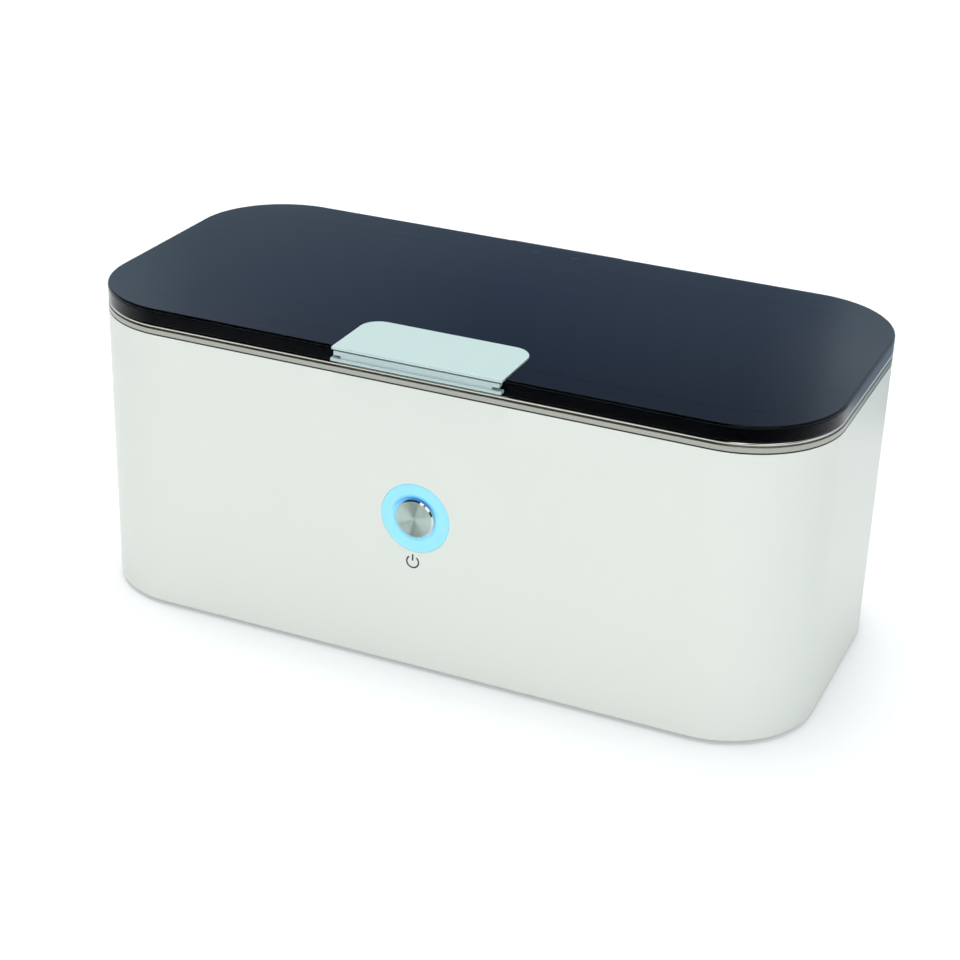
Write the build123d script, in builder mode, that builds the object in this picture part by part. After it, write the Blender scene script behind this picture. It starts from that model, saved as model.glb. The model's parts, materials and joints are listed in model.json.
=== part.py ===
"""Household ultrasonic jewellery cleaner with a hinged smoke-tinted lid, in millimetres.

+X runs to the right as seen from the front, +Y to the back, +Z up. The origin is the centre of the
whole footprint, handle and hinge included, on the plane that the feet stand on.
"""

import os
from math import cos, radians, sin

from build123d import *

os.makedirs("parts", exist_ok=True)

# Outside of the housing
body_length = 205.0
body_width = 96.0
corner_radius = 26.0
housing_height = 80.2
wall = 2.5
base_edge_round = 1.6
rim_round = 0.3

# Rubber feet
foot_gap = 1.0
foot_radius = 6.0
foot_recess = 1.0
foot_stem_radius = 1.9
foot_barb_radius = 3.0
foot_barb_height = 1.6
foot_end_inset = 22.5
foot_side_inset = 18.0

# Base plate and its screws
base_thick = 2.5
base_fit = 0.2
column_radius = 3.6
column_inset = 8.0
column_y = 24.0
column_height = 24.0
column_web = 3.0
base_screw_radius = 1.45
base_screw_length = 12.0
base_head_radius = 2.8
base_head_height = 1.1
vent_width = 2.0
vent_length = 17.0
vent_pitch = 6.0
vent_columns = 9
vent_rows = 2
vent_row_pitch = 24.0

# Ledge inside the housing that carries the tank
ledge_drop = 2.7
ledge_thick = 2.2
ledge_lip = 1.0

# Nickel-finished trim band
trim_seam = 0.2
trim_height = 2.6
trim_inner_inset = 9.5
trim_fit = 0.5
bead_height = 0.9
bead_round = 0.35
groove_height = 0.3
groove_depth = 0.6

# Tank, its seal and the screws that clamp it
under_tank_room = 28.5
tank_clearance = 0.8
tank_sheet = 0.8
tank_base_radius = 8.0
tank_rim_radius = 1.8
flange_gap = 0.9
seal_thick = 0.8
seal_margin = 0.6
ring_screw_spacing = 60.0
ring_screw_radius = 1.45
ring_screw_bite = 2.6
ring_head_radius = 2.7
ring_head_height = 2.0

# Lid
lid_gap = 0.2
lid_height = 4.2
lid_top_thick = 2.6
lid_band = 2.2
lid_edge_round = 0.7
skirt_gap = 0.5
skirt_thick = 1.5
skirt_reach = 2.2
bumper_radius = 2.5
bumper_spacing = 28.0

# Hinge behind the lid
hinge_back = 3.1
hinge_drop = 3.9
hinge_length = 33.4
knuckle_radius = 2.5
knuckle_length = 19.8
knuckle_gap = 0.25
hinge_pin_radius = 1.2
pin_press_gap = 0.02
pin_run_gap = 0.05
stop_angle = 42.0
stop_reach = 3.2
stop_width = 1.6
leaf_thick = 1.2
leaf_front_inset = 8.5
lid_screw_x = 6.0
lid_screw_inset = 5.8
lid_screw_radius = 1.1
lid_screw_bite = 1.8
lid_screw_head_radius = 2.1
lid_screw_head_height = 0.8
bracket_thick = 2.0
bracket_drop = 17.5
bracket_top_drop = 4.0
bracket_round = 3.0
bracket_screw_x = 10.0
bracket_screw_drop = 12.5
bracket_boss_radius = 2.5
bracket_screw_radius = 1.15
bracket_screw_bite = 3.4
bracket_head_radius = 2.8
bracket_head_height = 1.8

# Handle on the lid
handle_half = 23.4
handle_depth = 20.0
handle_round = 5.5
plate_thick = 0.8
plate_proud = 0.4
plate_overhang = 1.6
tape_thick = 0.3
tape_margin = 0.5
grip_margin = 0.65
grip_leaf_thick = 0.8
grip_leaf_edge = 1.6
grip_gap = 0.2
grip_step = 1.1
notch_height = 0.7
notch_depth = 2.0
lip_height = 0.8
lip_overhang = 2.1
handle_fit = 0.2
stud_x = 14.0
stud_inset = 6.0
stud_radius = 1.9
handle_screw_radius = 0.95
handle_head_radius = 2.6
handle_head_height = 1.2

# Button, light ring and the board behind them
button_z = 45.0
light_radius = 9.6
light_fit = 0.1
light_proud = 0.2
light_edge_round = 0.4
light_lip = 1.9
light_flange_thick = 1.5
cap_radius = 5.35
cap_gap = 0.75
cap_thick = 1.5
cap_proud = 0.7
cap_bevel = 0.35
button_travel = 1.0
button_rest_gap = 0.1
plunger_run_gap = 0.05
plunger_step = 0.2
plunger_lip = 0.9
plunger_flange_thick = 0.8
nub_radius = 2.0
nub_length = 0.45
switch_clearance = 0.05
board_boss_radius = 2.5
board_boss_gap = 0.5
switch_board_margin = 3.5
switch_board_height = 22.0
switch_board_thick = 1.2
switch_body = 6.0
switch_body_height = 3.1
switch_stem_radius = 1.7
switch_stem_height = 0.9
spring_wire = 0.25
spring_turns = 4.0
spring_seat_gap = 0.05
led_circle_radius = 8.4
led_length = 3.0
led_width = 1.6
led_height = 1.2
board_screw_radius = 0.95
switch_screw_length = 5.0
switch_head_radius = 2.0
switch_head_height = 1.2

# Ultrasonic drivers under the tank
coupling_radius = 21.0
coupling_thick = 4.0
piezo_radius = 20.0
piezo_thick = 3.0
driver_chamfer = 0.3

# Main board on its posts
post_height = 5.0
post_radius = 3.0
main_board_length = 120.0
main_board_width = 62.0
main_board_thick = 1.6
post_end_inset = 6.0
post_side_inset = 5.0
main_screw_length = 5.0
main_head_radius = 2.6
main_head_height = 1.6
driver_side_gap = 2.0
core_length = 25.0
core_width = 12.0
core_height = 16.0
core_leg = 6.0
core_yoke = 3.2
winding_wall = 3.8
winding_gap = 0.2
capacitor_side_inset = 17.0
capacitor_radius = 6.5
capacitor_height = 17.0
sink_gap = 2.4
sink_side_inset = 4.0
sink_length = 28.0
sink_depth = 10.0
sink_back = 3.0
sink_height = 11.0
sink_fin = 1.2
sink_fins = 6
transistor_spacing = 14.0
transistor_width = 10.0
transistor_body_depth = 3.1
transistor_tab = 1.3
transistor_body_height = 7.4
transistor_leg = 0.8
transistor_leg_height = 3.0
transistor_leg_spacing = 2.5
choke_end_inset = 22.0
choke_side_inset = 25.0
choke_radius = 9.0
choke_bore_radius = 4.0
choke_height = 8.0
film_end_inset = 46.0
film_side_inset = 16.0
film_gap = 4.0
film_length = 13.0
film_width = 6.0
film_height = 11.0
fuse_end_inset = 28.0
fuse_side_inset = 8.0
fuse_length = 20.0
fuse_radius = 2.5
fuse_cap_radius = 2.7
fuse_cap_length = 5.0
fuse_lift = 3.7
clip_wall = 0.6
plug_height = 7.0
plug_width = 6.0
plug_short = 8.0
plug_long = 14.0
plug_edge_gap = 1.0
left_plug_end_inset = 28.0
left_plug_side_inset = 9.0
right_plug_end_inset = 6.0
right_plug_side_inset = 17.0
switch_plug_side_inset = 5.0
switch_lead_x = 5.0
mains_plug_side_inset = 13.0

# Mains inlet in the back wall
inlet_end_inset = 42.5
inlet_z = 22.0
inlet_flange_length = 30.0
inlet_flange_height = 15.0
inlet_flange_thick = 1.6
inlet_flange_round = 3.0
inlet_body_length = 23.0
inlet_body_height = 10.6
inlet_body_round = 2.0
inlet_body_depth = 18.0
inlet_fit = 0.15
inlet_cavity_length = 16.4
inlet_cavity_height = 8.2
inlet_cavity_depth = 12.5
inlet_pin_radius = 1.18
inlet_pin_spacing = 8.6
inlet_pin_setback = 2.0
inlet_tab_length = 2.5
inlet_rib = 0.9
inlet_rib_depth = 1.4
inlet_rib_length = 8.0

# Wires
wire_radius = 0.9
thin_wire_radius = 0.6
wire_bend = 2.0
thin_wire_bend = 2.5
thin_wire_spacing = 2.0
driver_wire_run = 10.5

# Heights, from the feet up
base_bottom = foot_gap
base_top = base_bottom + base_thick
housing_top = base_bottom + housing_height
ledge_top = housing_top - ledge_drop
ledge_bottom = ledge_top - ledge_thick
flange_bottom = ledge_top + seal_thick
flange_top = flange_bottom + tank_sheet
tank_floor = base_top + under_tank_room
trim_bottom = housing_top + trim_seam
trim_top = trim_bottom + trim_height
lid_bottom = trim_top + lid_gap
lid_top = lid_bottom + lid_height
lid_ceiling = lid_top - lid_top_thick
hinge_z = lid_top - hinge_drop
plate_bottom = lid_top + plate_proud - plate_thick
tape_bottom = plate_bottom - tape_thick
grip_leaf_bottom = tape_bottom - grip_leaf_thick
notch_top = tape_bottom - grip_step
lip_top = notch_top - notch_height
lip_bottom = lip_top - lip_height
main_board_bottom = base_top + post_height
main_board_top = main_board_bottom + main_board_thick
coupling_bottom = tank_floor - coupling_thick
piezo_bottom = coupling_bottom - piezo_thick

# Places along Y, from the middle of the housing
front_face = -body_width / 2
rear_face = body_width / 2
front_inside = front_face + wall
rear_inside = rear_face - wall
hinge_y = rear_face + hinge_back
light_back = front_inside + light_flange_thick
plunger_flange_front = light_back + button_rest_gap
plunger_flange_back = plunger_flange_front + plunger_flange_thick
nub_end = plunger_flange_back + nub_length
board_front = nub_end + button_travel + switch_clearance + switch_stem_height + switch_body_height
board_back = board_front + switch_board_thick
stop_back = stop_reach * cos(radians(stop_angle)) + stop_width / 2 * sin(radians(stop_angle))
house_y = (lip_overhang - hinge_back - stop_back) / 2

# Insets from the outside of the housing
flange_inset = wall + flange_gap
seal_outer_inset = flange_inset + seal_margin
seal_inner_inset = trim_inner_inset + skirt_gap
ledge_inset = trim_inner_inset + ledge_lip
ring_screw_inset = (wall + trim_fit + trim_inner_inset) / 2
tank_inset = board_back + switch_head_height + tank_clearance - front_face
skirt_inset = trim_inner_inset + skirt_gap
bumper_inset = (lid_band + skirt_inset) / 2

# Radii and widths that follow from what they fit
light_bore = cap_radius + cap_gap
light_flange_radius = light_radius + light_lip
plunger_flange_radius = light_bore + plunger_lip
spring_radius = light_bore - plunger_lip
board_boss_x = light_flange_radius + board_boss_gap + board_boss_radius
switch_board_length = 2 * (board_boss_x + switch_board_margin)
grip_half = handle_half - grip_margin
grip_leaf_depth = stud_inset + stud_radius + grip_leaf_edge

# Places under the tank, with the board's left end in line with the mains inlet
inlet_x = inlet_end_inset - body_length / 2
board_left = inlet_x - plug_long / 2 - plug_edge_gap
board_right = board_left + main_board_length
board_edge = main_board_width / 2
driver_x = (body_length / 2 - tank_inset) / 2
driver_inner_x = driver_x - coupling_radius - driver_side_gap
transformer_x = driver_inner_x - core_length / 2
capacitor_x = capacitor_radius - driver_inner_x
capacitor_y = capacitor_side_inset - board_edge
sink_x = board_right - post_end_inset - main_head_radius - sink_gap - sink_length / 2
sink_y = sink_side_inset + sink_depth - board_edge
choke_x = board_left + choke_end_inset
choke_y = choke_side_inset - board_edge
film_x = board_left + film_end_inset
film_y = board_edge - film_side_inset
fuse_x = board_left + fuse_end_inset
fuse_y = board_edge - fuse_side_inset
left_plug_x = board_left + left_plug_end_inset
left_plug_y = left_plug_side_inset - board_edge
right_plug_x = board_right - right_plug_end_inset
right_plug_y = board_edge - right_plug_side_inset
switch_plug_x = sink_x - sink_length / 2 - plug_edge_gap - plug_short / 2
switch_plug_y = switch_plug_side_inset - board_edge
mains_plug_y = board_edge - mains_plug_side_inset

# Places that repeat
ring_screw_y = body_width / 2 - ring_screw_inset
ring_screw_x = body_length / 2 - ring_screw_inset
ring_screw_spots = [
    (column * ring_screw_spacing, side * ring_screw_y) for side in (-1, 1) for column in (-1, 0, 1)
] + [(side * ring_screw_x, 0) for side in (-1, 1)]
column_x = body_length / 2 - column_inset
column_spots = [(sx * column_x, sy * column_y) for sx in (-1, 1) for sy in (-1, 1)]
post_spots = [
    (x, sy * (board_edge - post_side_inset))
    for x in (board_left + post_end_inset, board_right - post_end_inset)
    for sy in (-1, 1)
]
foot_x = body_length / 2 - foot_end_inset
foot_y = body_width / 2 - foot_side_inset
stud_spots = [(-stud_x, front_face + stud_inset), (stud_x, front_face + stud_inset)]
lid_screw_spots = [(-lid_screw_x, rear_face - lid_screw_inset), (lid_screw_x, rear_face - lid_screw_inset)]
bracket_screw_z = hinge_z - bracket_screw_drop
bracket_spots = [(-bracket_screw_x, bracket_screw_z), (bracket_screw_x, bracket_screw_z)]
board_boss_spots = [(-board_boss_x, button_z), (board_boss_x, button_z)]


def level(z):
    """Horizontal plane at height z, over the middle of the housing."""
    return Plane((0, house_y, z))


def facing_front(y):
    """Upright plane at y, with its normal to the front and (x, z) as its axes."""
    return Plane((0, house_y + y, 0), x_dir=(1, 0, 0), z_dir=(0, -1, 0))


def facing_right(x):
    """Upright plane at x, with its normal to the right and (y, z) as its axes."""
    return Plane((x, house_y, 0), x_dir=(0, 1, 0), z_dir=(1, 0, 0))


def outline(inset, mode=Mode.ADD):
    """The housing's rounded plan, moved inwards by inset."""
    length = body_length - 2 * inset
    width = body_width - 2 * inset
    return RectangleRounded(length, width, corner_radius - inset, mode=mode)


def save(piece, name):
    """Labels a finished piece and writes its file."""
    piece.part.label = name
    export_step(piece.part, f"parts/{name}.step")


def screws(plane, spots, head_radius, head_height, shank_radius, shank_length):
    """Screws whose heads lie under the plane and whose shanks run along its normal, with a cross recess."""
    recess = head_radius * 1.2
    recess_width = head_radius * 0.25
    with BuildPart() as group:
        with BuildSketch(plane.offset(-head_height)):
            with Locations(*spots):
                Circle(head_radius)
        extrude(amount=head_height)
        with BuildSketch(plane):
            with Locations(*spots):
                Circle(shank_radius)
        extrude(amount=shank_length)
        with BuildSketch(plane.offset(-head_height)):
            with Locations(*spots):
                Rectangle(recess, recess_width)
                Rectangle(recess_width, recess)
        extrude(amount=head_height * 0.6, mode=Mode.SUBTRACT)
    return group


def wires(paths, radius, bend):
    """Round wires along the given corner points, one solid each."""
    with BuildPart() as group:
        for points in paths:
            with BuildLine(mode=Mode.PRIVATE) as route:
                FilletPolyline(*points, radius=bend)
            with BuildSketch(Plane(route.wire() @ 0, z_dir=route.wire() % 0), mode=Mode.PRIVATE) as section:
                Circle(radius)
            sweep(section.sketch, path=route.wire())
    return group


# Housing: open at the top and bottom, with the ledge, the columns and the bosses inside
with BuildPart() as housing_shell:
    with BuildSketch(level(base_bottom)):
        outline(0)
    extrude(amount=housing_height)
    fillet(housing_shell.edges().group_by(Axis.Z)[0], base_edge_round)
    fillet(housing_shell.edges().group_by(Axis.Z)[-1], rim_round)
    with BuildSketch(level(base_bottom)):
        outline(wall)
    extrude(amount=housing_height, mode=Mode.SUBTRACT)
    with BuildSketch(level(ledge_bottom)):
        outline(wall / 2)
        outline(ledge_inset, mode=Mode.SUBTRACT)
        with Locations(*ring_screw_spots):
            Circle(ring_screw_radius + base_fit, mode=Mode.SUBTRACT)
    extrude(amount=ledge_thick)
    with BuildSketch(level(base_top)):
        for column_side in (-1, 1):
            with GridLocations(0, 2 * column_y, 1, 2):
                with Locations((column_side * (body_length / 2 - (column_inset + wall / 2) / 2), 0)):
                    Rectangle(column_inset - wall / 2, column_web)
        with Locations(*column_spots):
            Circle(column_radius)
    extrude(amount=column_height)
    with BuildSketch(level(base_top)):
        with Locations(*column_spots):
            Circle(base_screw_radius)
    extrude(amount=base_screw_length, mode=Mode.SUBTRACT)
    with BuildSketch(facing_front(front_inside - wall / 2)):
        with Locations(*board_boss_spots):
            Circle(board_boss_radius)
    extrude(amount=front_inside - wall / 2 - board_front)
    with BuildSketch(facing_front(board_front)):
        with Locations(*board_boss_spots):
            Circle(board_screw_radius)
    extrude(amount=switch_screw_length, mode=Mode.SUBTRACT)
    with BuildSketch(facing_front(front_face)):
        with Locations((0, button_z)):
            Circle(light_radius + light_fit)
    extrude(amount=-wall, mode=Mode.SUBTRACT)
    with BuildSketch(facing_front(rear_face)):
        with Locations((inlet_x, inlet_z)):
            RectangleRounded(
                inlet_body_length + 2 * inlet_fit, inlet_body_height + 2 * inlet_fit, inlet_body_round
            )
        with Locations(*bracket_spots):
            Circle(bracket_boss_radius + inlet_fit)
    extrude(amount=wall, mode=Mode.SUBTRACT)
save(housing_shell, "housing_shell")

# Base plate: closes the housing from below and carries the main board
with BuildPart() as base_plate:
    with BuildSketch(level(base_bottom)):
        outline(wall + base_fit)
    extrude(amount=base_thick)
    with BuildSketch(level(base_top)):
        with Locations(*post_spots):
            Circle(post_radius)
    extrude(amount=post_height)
    with BuildSketch(level(main_board_bottom)):
        with Locations(*post_spots):
            Circle(board_screw_radius)
    extrude(amount=-(main_screw_length - main_board_thick), mode=Mode.SUBTRACT)
    with BuildSketch(level(base_bottom)):
        with Locations(*column_spots):
            Circle(base_screw_radius + base_fit)
        with GridLocations(2 * foot_x, 2 * foot_y, 2, 2):
            Circle(foot_stem_radius + pin_run_gap)
        with GridLocations(vent_pitch, vent_row_pitch, vent_columns, vent_rows):
            SlotOverall(vent_length, vent_width, rotation=90)
    extrude(amount=base_thick, mode=Mode.SUBTRACT)
    with BuildSketch(level(base_bottom)):
        with Locations(*column_spots):
            Circle(base_head_radius + base_fit)
    extrude(amount=base_head_height, mode=Mode.SUBTRACT)
    with BuildSketch(level(base_bottom)):
        with GridLocations(2 * foot_x, 2 * foot_y, 2, 2):
            Circle(foot_radius + base_fit)
    extrude(amount=foot_recess, mode=Mode.SUBTRACT)
save(base_plate, "base_plate")

base_screws = screws(
    level(base_bottom + base_head_height),
    column_spots,
    base_head_radius,
    base_head_height,
    base_screw_radius,
    base_screw_length,
)
save(base_screws, "base_screws")


def push_in_foot(x, y):
    """Rubber foot with a stem and a barb that holds it in the base plate."""
    with BuildPart() as foot:
        with BuildSketch(Plane((x, house_y + y, 0))):
            Circle(foot_radius)
        extrude(amount=foot_gap + foot_recess)
        fillet(foot.edges().group_by(Axis.Z)[0], foot_gap / 2)
        with BuildSketch(Plane((x, house_y + y, foot_gap + foot_recess))):
            Circle(foot_stem_radius)
        extrude(amount=base_top - foot_gap - foot_recess)
        with BuildSketch(Plane((x, house_y + y, base_top))):
            Circle(foot_barb_radius)
        extrude(amount=foot_barb_height, taper=20)
    return foot


for foot_name, foot_side, foot_end in (
    ("foot_front_left", -1, -1),
    ("foot_front_right", 1, -1),
    ("foot_rear_left", -1, 1),
    ("foot_rear_right", 1, 1),
):
    save(push_in_foot(foot_side * foot_x, foot_end * foot_y), foot_name)

# Trim band: a rounded bead over a groove over a flat strip, thicker inside where the screws bite
with BuildPart() as trim_ring:
    with BuildSketch(level(trim_bottom)):
        outline(0)
        outline(trim_inner_inset, mode=Mode.SUBTRACT)
    extrude(amount=trim_height)
    fillet(trim_ring.edges().group_by(Axis.Z)[-1], bead_round)
    with BuildSketch(level(flange_top)):
        outline(wall + trim_fit)
        outline(trim_inner_inset, mode=Mode.SUBTRACT)
    extrude(amount=trim_bottom + trim_height / 2 - flange_top)
    with BuildSketch(level(trim_top - bead_height - groove_height)):
        outline(-1)
        outline(groove_depth, mode=Mode.SUBTRACT)
    extrude(amount=groove_height, mode=Mode.SUBTRACT)
    with BuildSketch(level(flange_top)):
        with Locations(*ring_screw_spots):
            Circle(ring_screw_radius)
    extrude(amount=ring_screw_bite, mode=Mode.SUBTRACT)
save(trim_ring, "trim_ring")

# Silicone seal between the ledge and the tank's flange
with BuildPart() as tank_seal:
    with BuildSketch(level(ledge_top)):
        outline(seal_outer_inset)
        outline(seal_inner_inset, mode=Mode.SUBTRACT)
        with Locations(*ring_screw_spots):
            Circle(ring_screw_radius + base_fit, mode=Mode.SUBTRACT)
    extrude(amount=seal_thick)
save(tank_seal, "tank_seal")

# Tank: deep-drawn stainless sheet with a flat flange
with BuildPart() as tank:
    with BuildSketch(level(tank_floor)):
        outline(tank_inset)
    extrude(amount=flange_top - tank_floor)
    fillet(tank.edges().group_by(Axis.Z)[0], tank_base_radius)
    offset(amount=-tank_sheet, openings=tank.faces().sort_by(Axis.Z)[-1])
    with BuildSketch(level(flange_bottom)):
        outline(flange_inset)
        outline(tank_inset + tank_sheet, mode=Mode.SUBTRACT)
    extrude(amount=tank_sheet)
    mouth_edges = tank.edges().group_by(Axis.Z)[-1].filter_by(
        lambda edge: abs(edge.center().Y - house_y) <= body_width / 2 - tank_inset
        and abs(edge.center().X) <= body_length / 2 - tank_inset
    )
    fillet(mouth_edges, tank_rim_radius)
    with BuildSketch(level(flange_bottom)):
        with Locations(*ring_screw_spots):
            Circle(ring_screw_radius + base_fit)
    extrude(amount=tank_sheet, mode=Mode.SUBTRACT)
save(tank, "tank")

# Screws up through the ledge, the seal and the flange, with their threads in the band
ring_screws = screws(
    level(ledge_bottom),
    ring_screw_spots,
    ring_head_radius,
    ring_head_height,
    ring_screw_radius,
    flange_top + ring_screw_bite - ledge_bottom,
)
save(ring_screws, "ring_screws")

# Ultrasonic drivers: an aluminium coupling plate and a piezo disc, bonded under the tank
for driver_name, driver_side in (("left", -1), ("right", 1)):
    with BuildPart() as coupling_plate:
        with BuildSketch(level(coupling_bottom)):
            with Locations((driver_side * driver_x, 0)):
                Circle(coupling_radius)
        extrude(amount=coupling_thick)
        chamfer(coupling_plate.edges().group_by(Axis.Z)[0], driver_chamfer)
    save(coupling_plate, f"coupling_plate_{driver_name}")
    with BuildPart() as piezo_disc:
        with BuildSketch(level(piezo_bottom)):
            with Locations((driver_side * driver_x, 0)):
                Circle(piezo_radius)
        extrude(amount=piezo_thick)
        chamfer(piezo_disc.edges().group_by(Axis.Z)[0], driver_chamfer)
    save(piezo_disc, f"piezo_disc_{driver_name}")

# Lid: top plate, side band, and a skirt that drops inside the trim band
handle_rear = front_face + handle_depth
with BuildPart() as lid:
    with BuildSketch(level(lid_bottom)):
        outline(0)
    extrude(amount=lid_height)
    fillet(lid.edges().group_by(Axis.Z)[-1], lid_edge_round)
    with BuildSketch(level(lid_bottom)):
        outline(lid_band)
    extrude(amount=lid_ceiling - lid_bottom, mode=Mode.SUBTRACT)
    with BuildSketch(level(lid_bottom - skirt_reach)):
        outline(skirt_inset)
        outline(skirt_inset + skirt_thick, mode=Mode.SUBTRACT)
    extrude(amount=lid_ceiling + lid_top_thick / 2 - lid_bottom + skirt_reach)
    with BuildSketch(level(tape_bottom)):
        with BuildLine():
            Polyline(
                (-handle_half - handle_fit, front_face - plate_overhang),
                (handle_half + handle_fit, front_face - plate_overhang),
                (handle_half + handle_fit, handle_rear + handle_fit),
                (-handle_half - handle_fit, handle_rear + handle_fit),
                close=True,
            )
        recess = make_face()
        fillet(recess.vertices().group_by(Axis.Y)[-1], handle_round + handle_fit)
    extrude(amount=lid_top - tape_bottom, mode=Mode.SUBTRACT)
    with BuildSketch(level(grip_leaf_bottom)):
        with Locations((0, front_face + (grip_leaf_depth + handle_fit) / 2)):
            Rectangle(2 * (grip_half + handle_fit), grip_leaf_depth + handle_fit)
    extrude(amount=grip_leaf_thick, mode=Mode.SUBTRACT)
    with BuildSketch(level(lid_ceiling)):
        with Locations(*stud_spots):
            Circle(stud_radius + handle_fit)
    extrude(amount=tape_bottom - lid_ceiling, mode=Mode.SUBTRACT)
    with BuildSketch(level(lid_bottom)):
        with Locations((0, rear_face - lid_band / 2)):
            Rectangle(knuckle_length + 2 * handle_fit, lid_band)
    extrude(amount=lid_ceiling - lid_bottom, mode=Mode.SUBTRACT)
    with BuildSketch(level(lid_ceiling)):
        with Locations(*lid_screw_spots):
            Circle(lid_screw_radius)
    extrude(amount=lid_screw_bite, mode=Mode.SUBTRACT)
save(lid, "lid")

# Soft pads under the lid that land on the trim band
with BuildPart() as lid_bumpers:
    with BuildSketch(level(trim_top)):
        with GridLocations(body_length - 2 * bumper_inset, bumper_spacing, 2, 2):
            Circle(bumper_radius)
    extrude(amount=lid_ceiling - trim_top)
save(lid_bumpers, "lid_bumpers")

# Handle plate: flat plate with round rear corners, and two threaded studs through the lid
stud_bottom = lid_ceiling + handle_fit
with BuildPart() as handle_plate:
    with BuildSketch(level(plate_bottom)):
        with BuildLine():
            Polyline(
                (-handle_half, front_face - plate_overhang),
                (handle_half, front_face - plate_overhang),
                (handle_half, handle_rear),
                (-handle_half, handle_rear),
                close=True,
            )
        plate_face = make_face()
        fillet(plate_face.vertices().group_by(Axis.Y)[-1], handle_round)
    extrude(amount=plate_thick)
    fillet(handle_plate.edges().group_by(Axis.Z)[-1], plate_thick / 4)
    with BuildSketch(level(stud_bottom)):
        with Locations(*stud_spots):
            Circle(stud_radius)
    extrude(amount=plate_bottom - stud_bottom)
    with BuildSketch(level(stud_bottom)):
        with Locations(*stud_spots):
            Circle(handle_screw_radius)
    extrude(amount=plate_bottom - stud_bottom, mode=Mode.SUBTRACT)
save(handle_plate, "handle_plate")

# Dark mounting tape between the plate, the grip and the lid
with BuildPart() as handle_tape:
    tape_front = front_face - plate_overhang + tape_margin
    tape_rear = handle_rear - tape_margin
    tape_half = handle_half - tape_margin
    with BuildSketch(level(tape_bottom)):
        with BuildLine():
            Polyline(
                (-tape_half, tape_front),
                (tape_half, tape_front),
                (tape_half, tape_rear),
                (-tape_half, tape_rear),
                close=True,
            )
        tape_face = make_face()
        fillet(tape_face.vertices().group_by(Axis.Y)[-1], handle_round - tape_margin)
        with Locations(*stud_spots):
            Circle(stud_radius + handle_fit, mode=Mode.SUBTRACT)
    extrude(amount=tape_thick)
save(handle_tape, "handle_tape")

# Grip: a leaf under the plate, a strip with a notch at each end, and the finger lip
grip_back = front_face - grip_gap
grip_front = front_face - plate_overhang
with BuildPart() as handle_grip:
    with BuildSketch(facing_right(0)):
        with BuildLine():
            Polyline(
                (front_face + grip_leaf_depth, tape_bottom),
                (front_face + grip_leaf_depth, grip_leaf_bottom),
                (grip_back, grip_leaf_bottom),
                (grip_back, notch_top),
                (grip_front, notch_top),
                (grip_front, tape_bottom),
                close=True,
            )
        make_face()
    extrude(amount=grip_half, both=True)
    with BuildSketch(facing_right(0)):
        with BuildLine():
            Polyline(
                (grip_back, notch_top + grip_step / 2),
                (grip_back, lip_top - lip_height / 2),
                (grip_front, lip_top - lip_height / 2),
                (grip_front, notch_top + grip_step / 2),
                close=True,
            )
        make_face()
    extrude(amount=grip_half - notch_depth, both=True)
    with BuildSketch(facing_right(0)):
        with BuildLine():
            Polyline(
                (grip_back, lip_top),
                (grip_back, lip_bottom),
                (front_face - lip_overhang, lip_bottom),
                (front_face - lip_overhang, lip_top),
                close=True,
            )
        make_face()
    extrude(amount=handle_half, both=True)
    with BuildSketch(level(grip_leaf_bottom)):
        with Locations(*stud_spots):
            Circle(stud_radius + handle_fit)
    extrude(amount=grip_leaf_thick, mode=Mode.SUBTRACT)
save(handle_grip, "handle_grip")

handle_screws = screws(
    level(lid_ceiling),
    stud_spots,
    handle_head_radius,
    handle_head_height,
    handle_screw_radius,
    plate_bottom - lid_ceiling - handle_fit,
)
save(handle_screws, "handle_screws")

# Lid hinge: a leaf screwed under the lid, its knuckle, and a nose that stops the lid when it is open
leaf_bottom = lid_ceiling - leaf_thick
leaf_front = rear_face - leaf_front_inset
with BuildPart() as lid_hinge:
    with BuildSketch(facing_right(0)):
        with BuildLine():
            Polyline(
                (leaf_front, leaf_bottom),
                (hinge_y, leaf_bottom),
                (hinge_y, lid_ceiling),
                (leaf_front, lid_ceiling),
                close=True,
            )
        make_face()
        with Locations((hinge_y, hinge_z)):
            Circle(knuckle_radius)
        stop_middle = (
            hinge_y + stop_reach / 2 * cos(radians(stop_angle)),
            hinge_z - stop_reach / 2 * sin(radians(stop_angle)),
        )
        with Locations(stop_middle):
            Rectangle(stop_reach, stop_width, rotation=-stop_angle)
        with Locations((hinge_y, hinge_z)):
            Circle(hinge_pin_radius + pin_run_gap, mode=Mode.SUBTRACT)
    extrude(amount=knuckle_length / 2, both=True)
    with BuildSketch(level(leaf_bottom)):
        with Locations(*lid_screw_spots):
            Circle(lid_screw_radius + pin_run_gap)
    extrude(amount=leaf_thick, mode=Mode.SUBTRACT)
    with BuildSketch(level(leaf_bottom)):
        with Locations(*lid_screw_spots):
            Circle(lid_screw_head_radius + pin_run_gap)
    extrude(amount=lid_screw_head_height, mode=Mode.SUBTRACT)
save(lid_hinge, "lid_hinge")

lid_hinge_screws = screws(
    level(leaf_bottom + lid_screw_head_height),
    lid_screw_spots,
    lid_screw_head_radius,
    lid_screw_head_height,
    lid_screw_radius,
    leaf_thick - lid_screw_head_height + lid_screw_bite,
)
save(lid_hinge_screws, "lid_hinge_screws")

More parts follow.
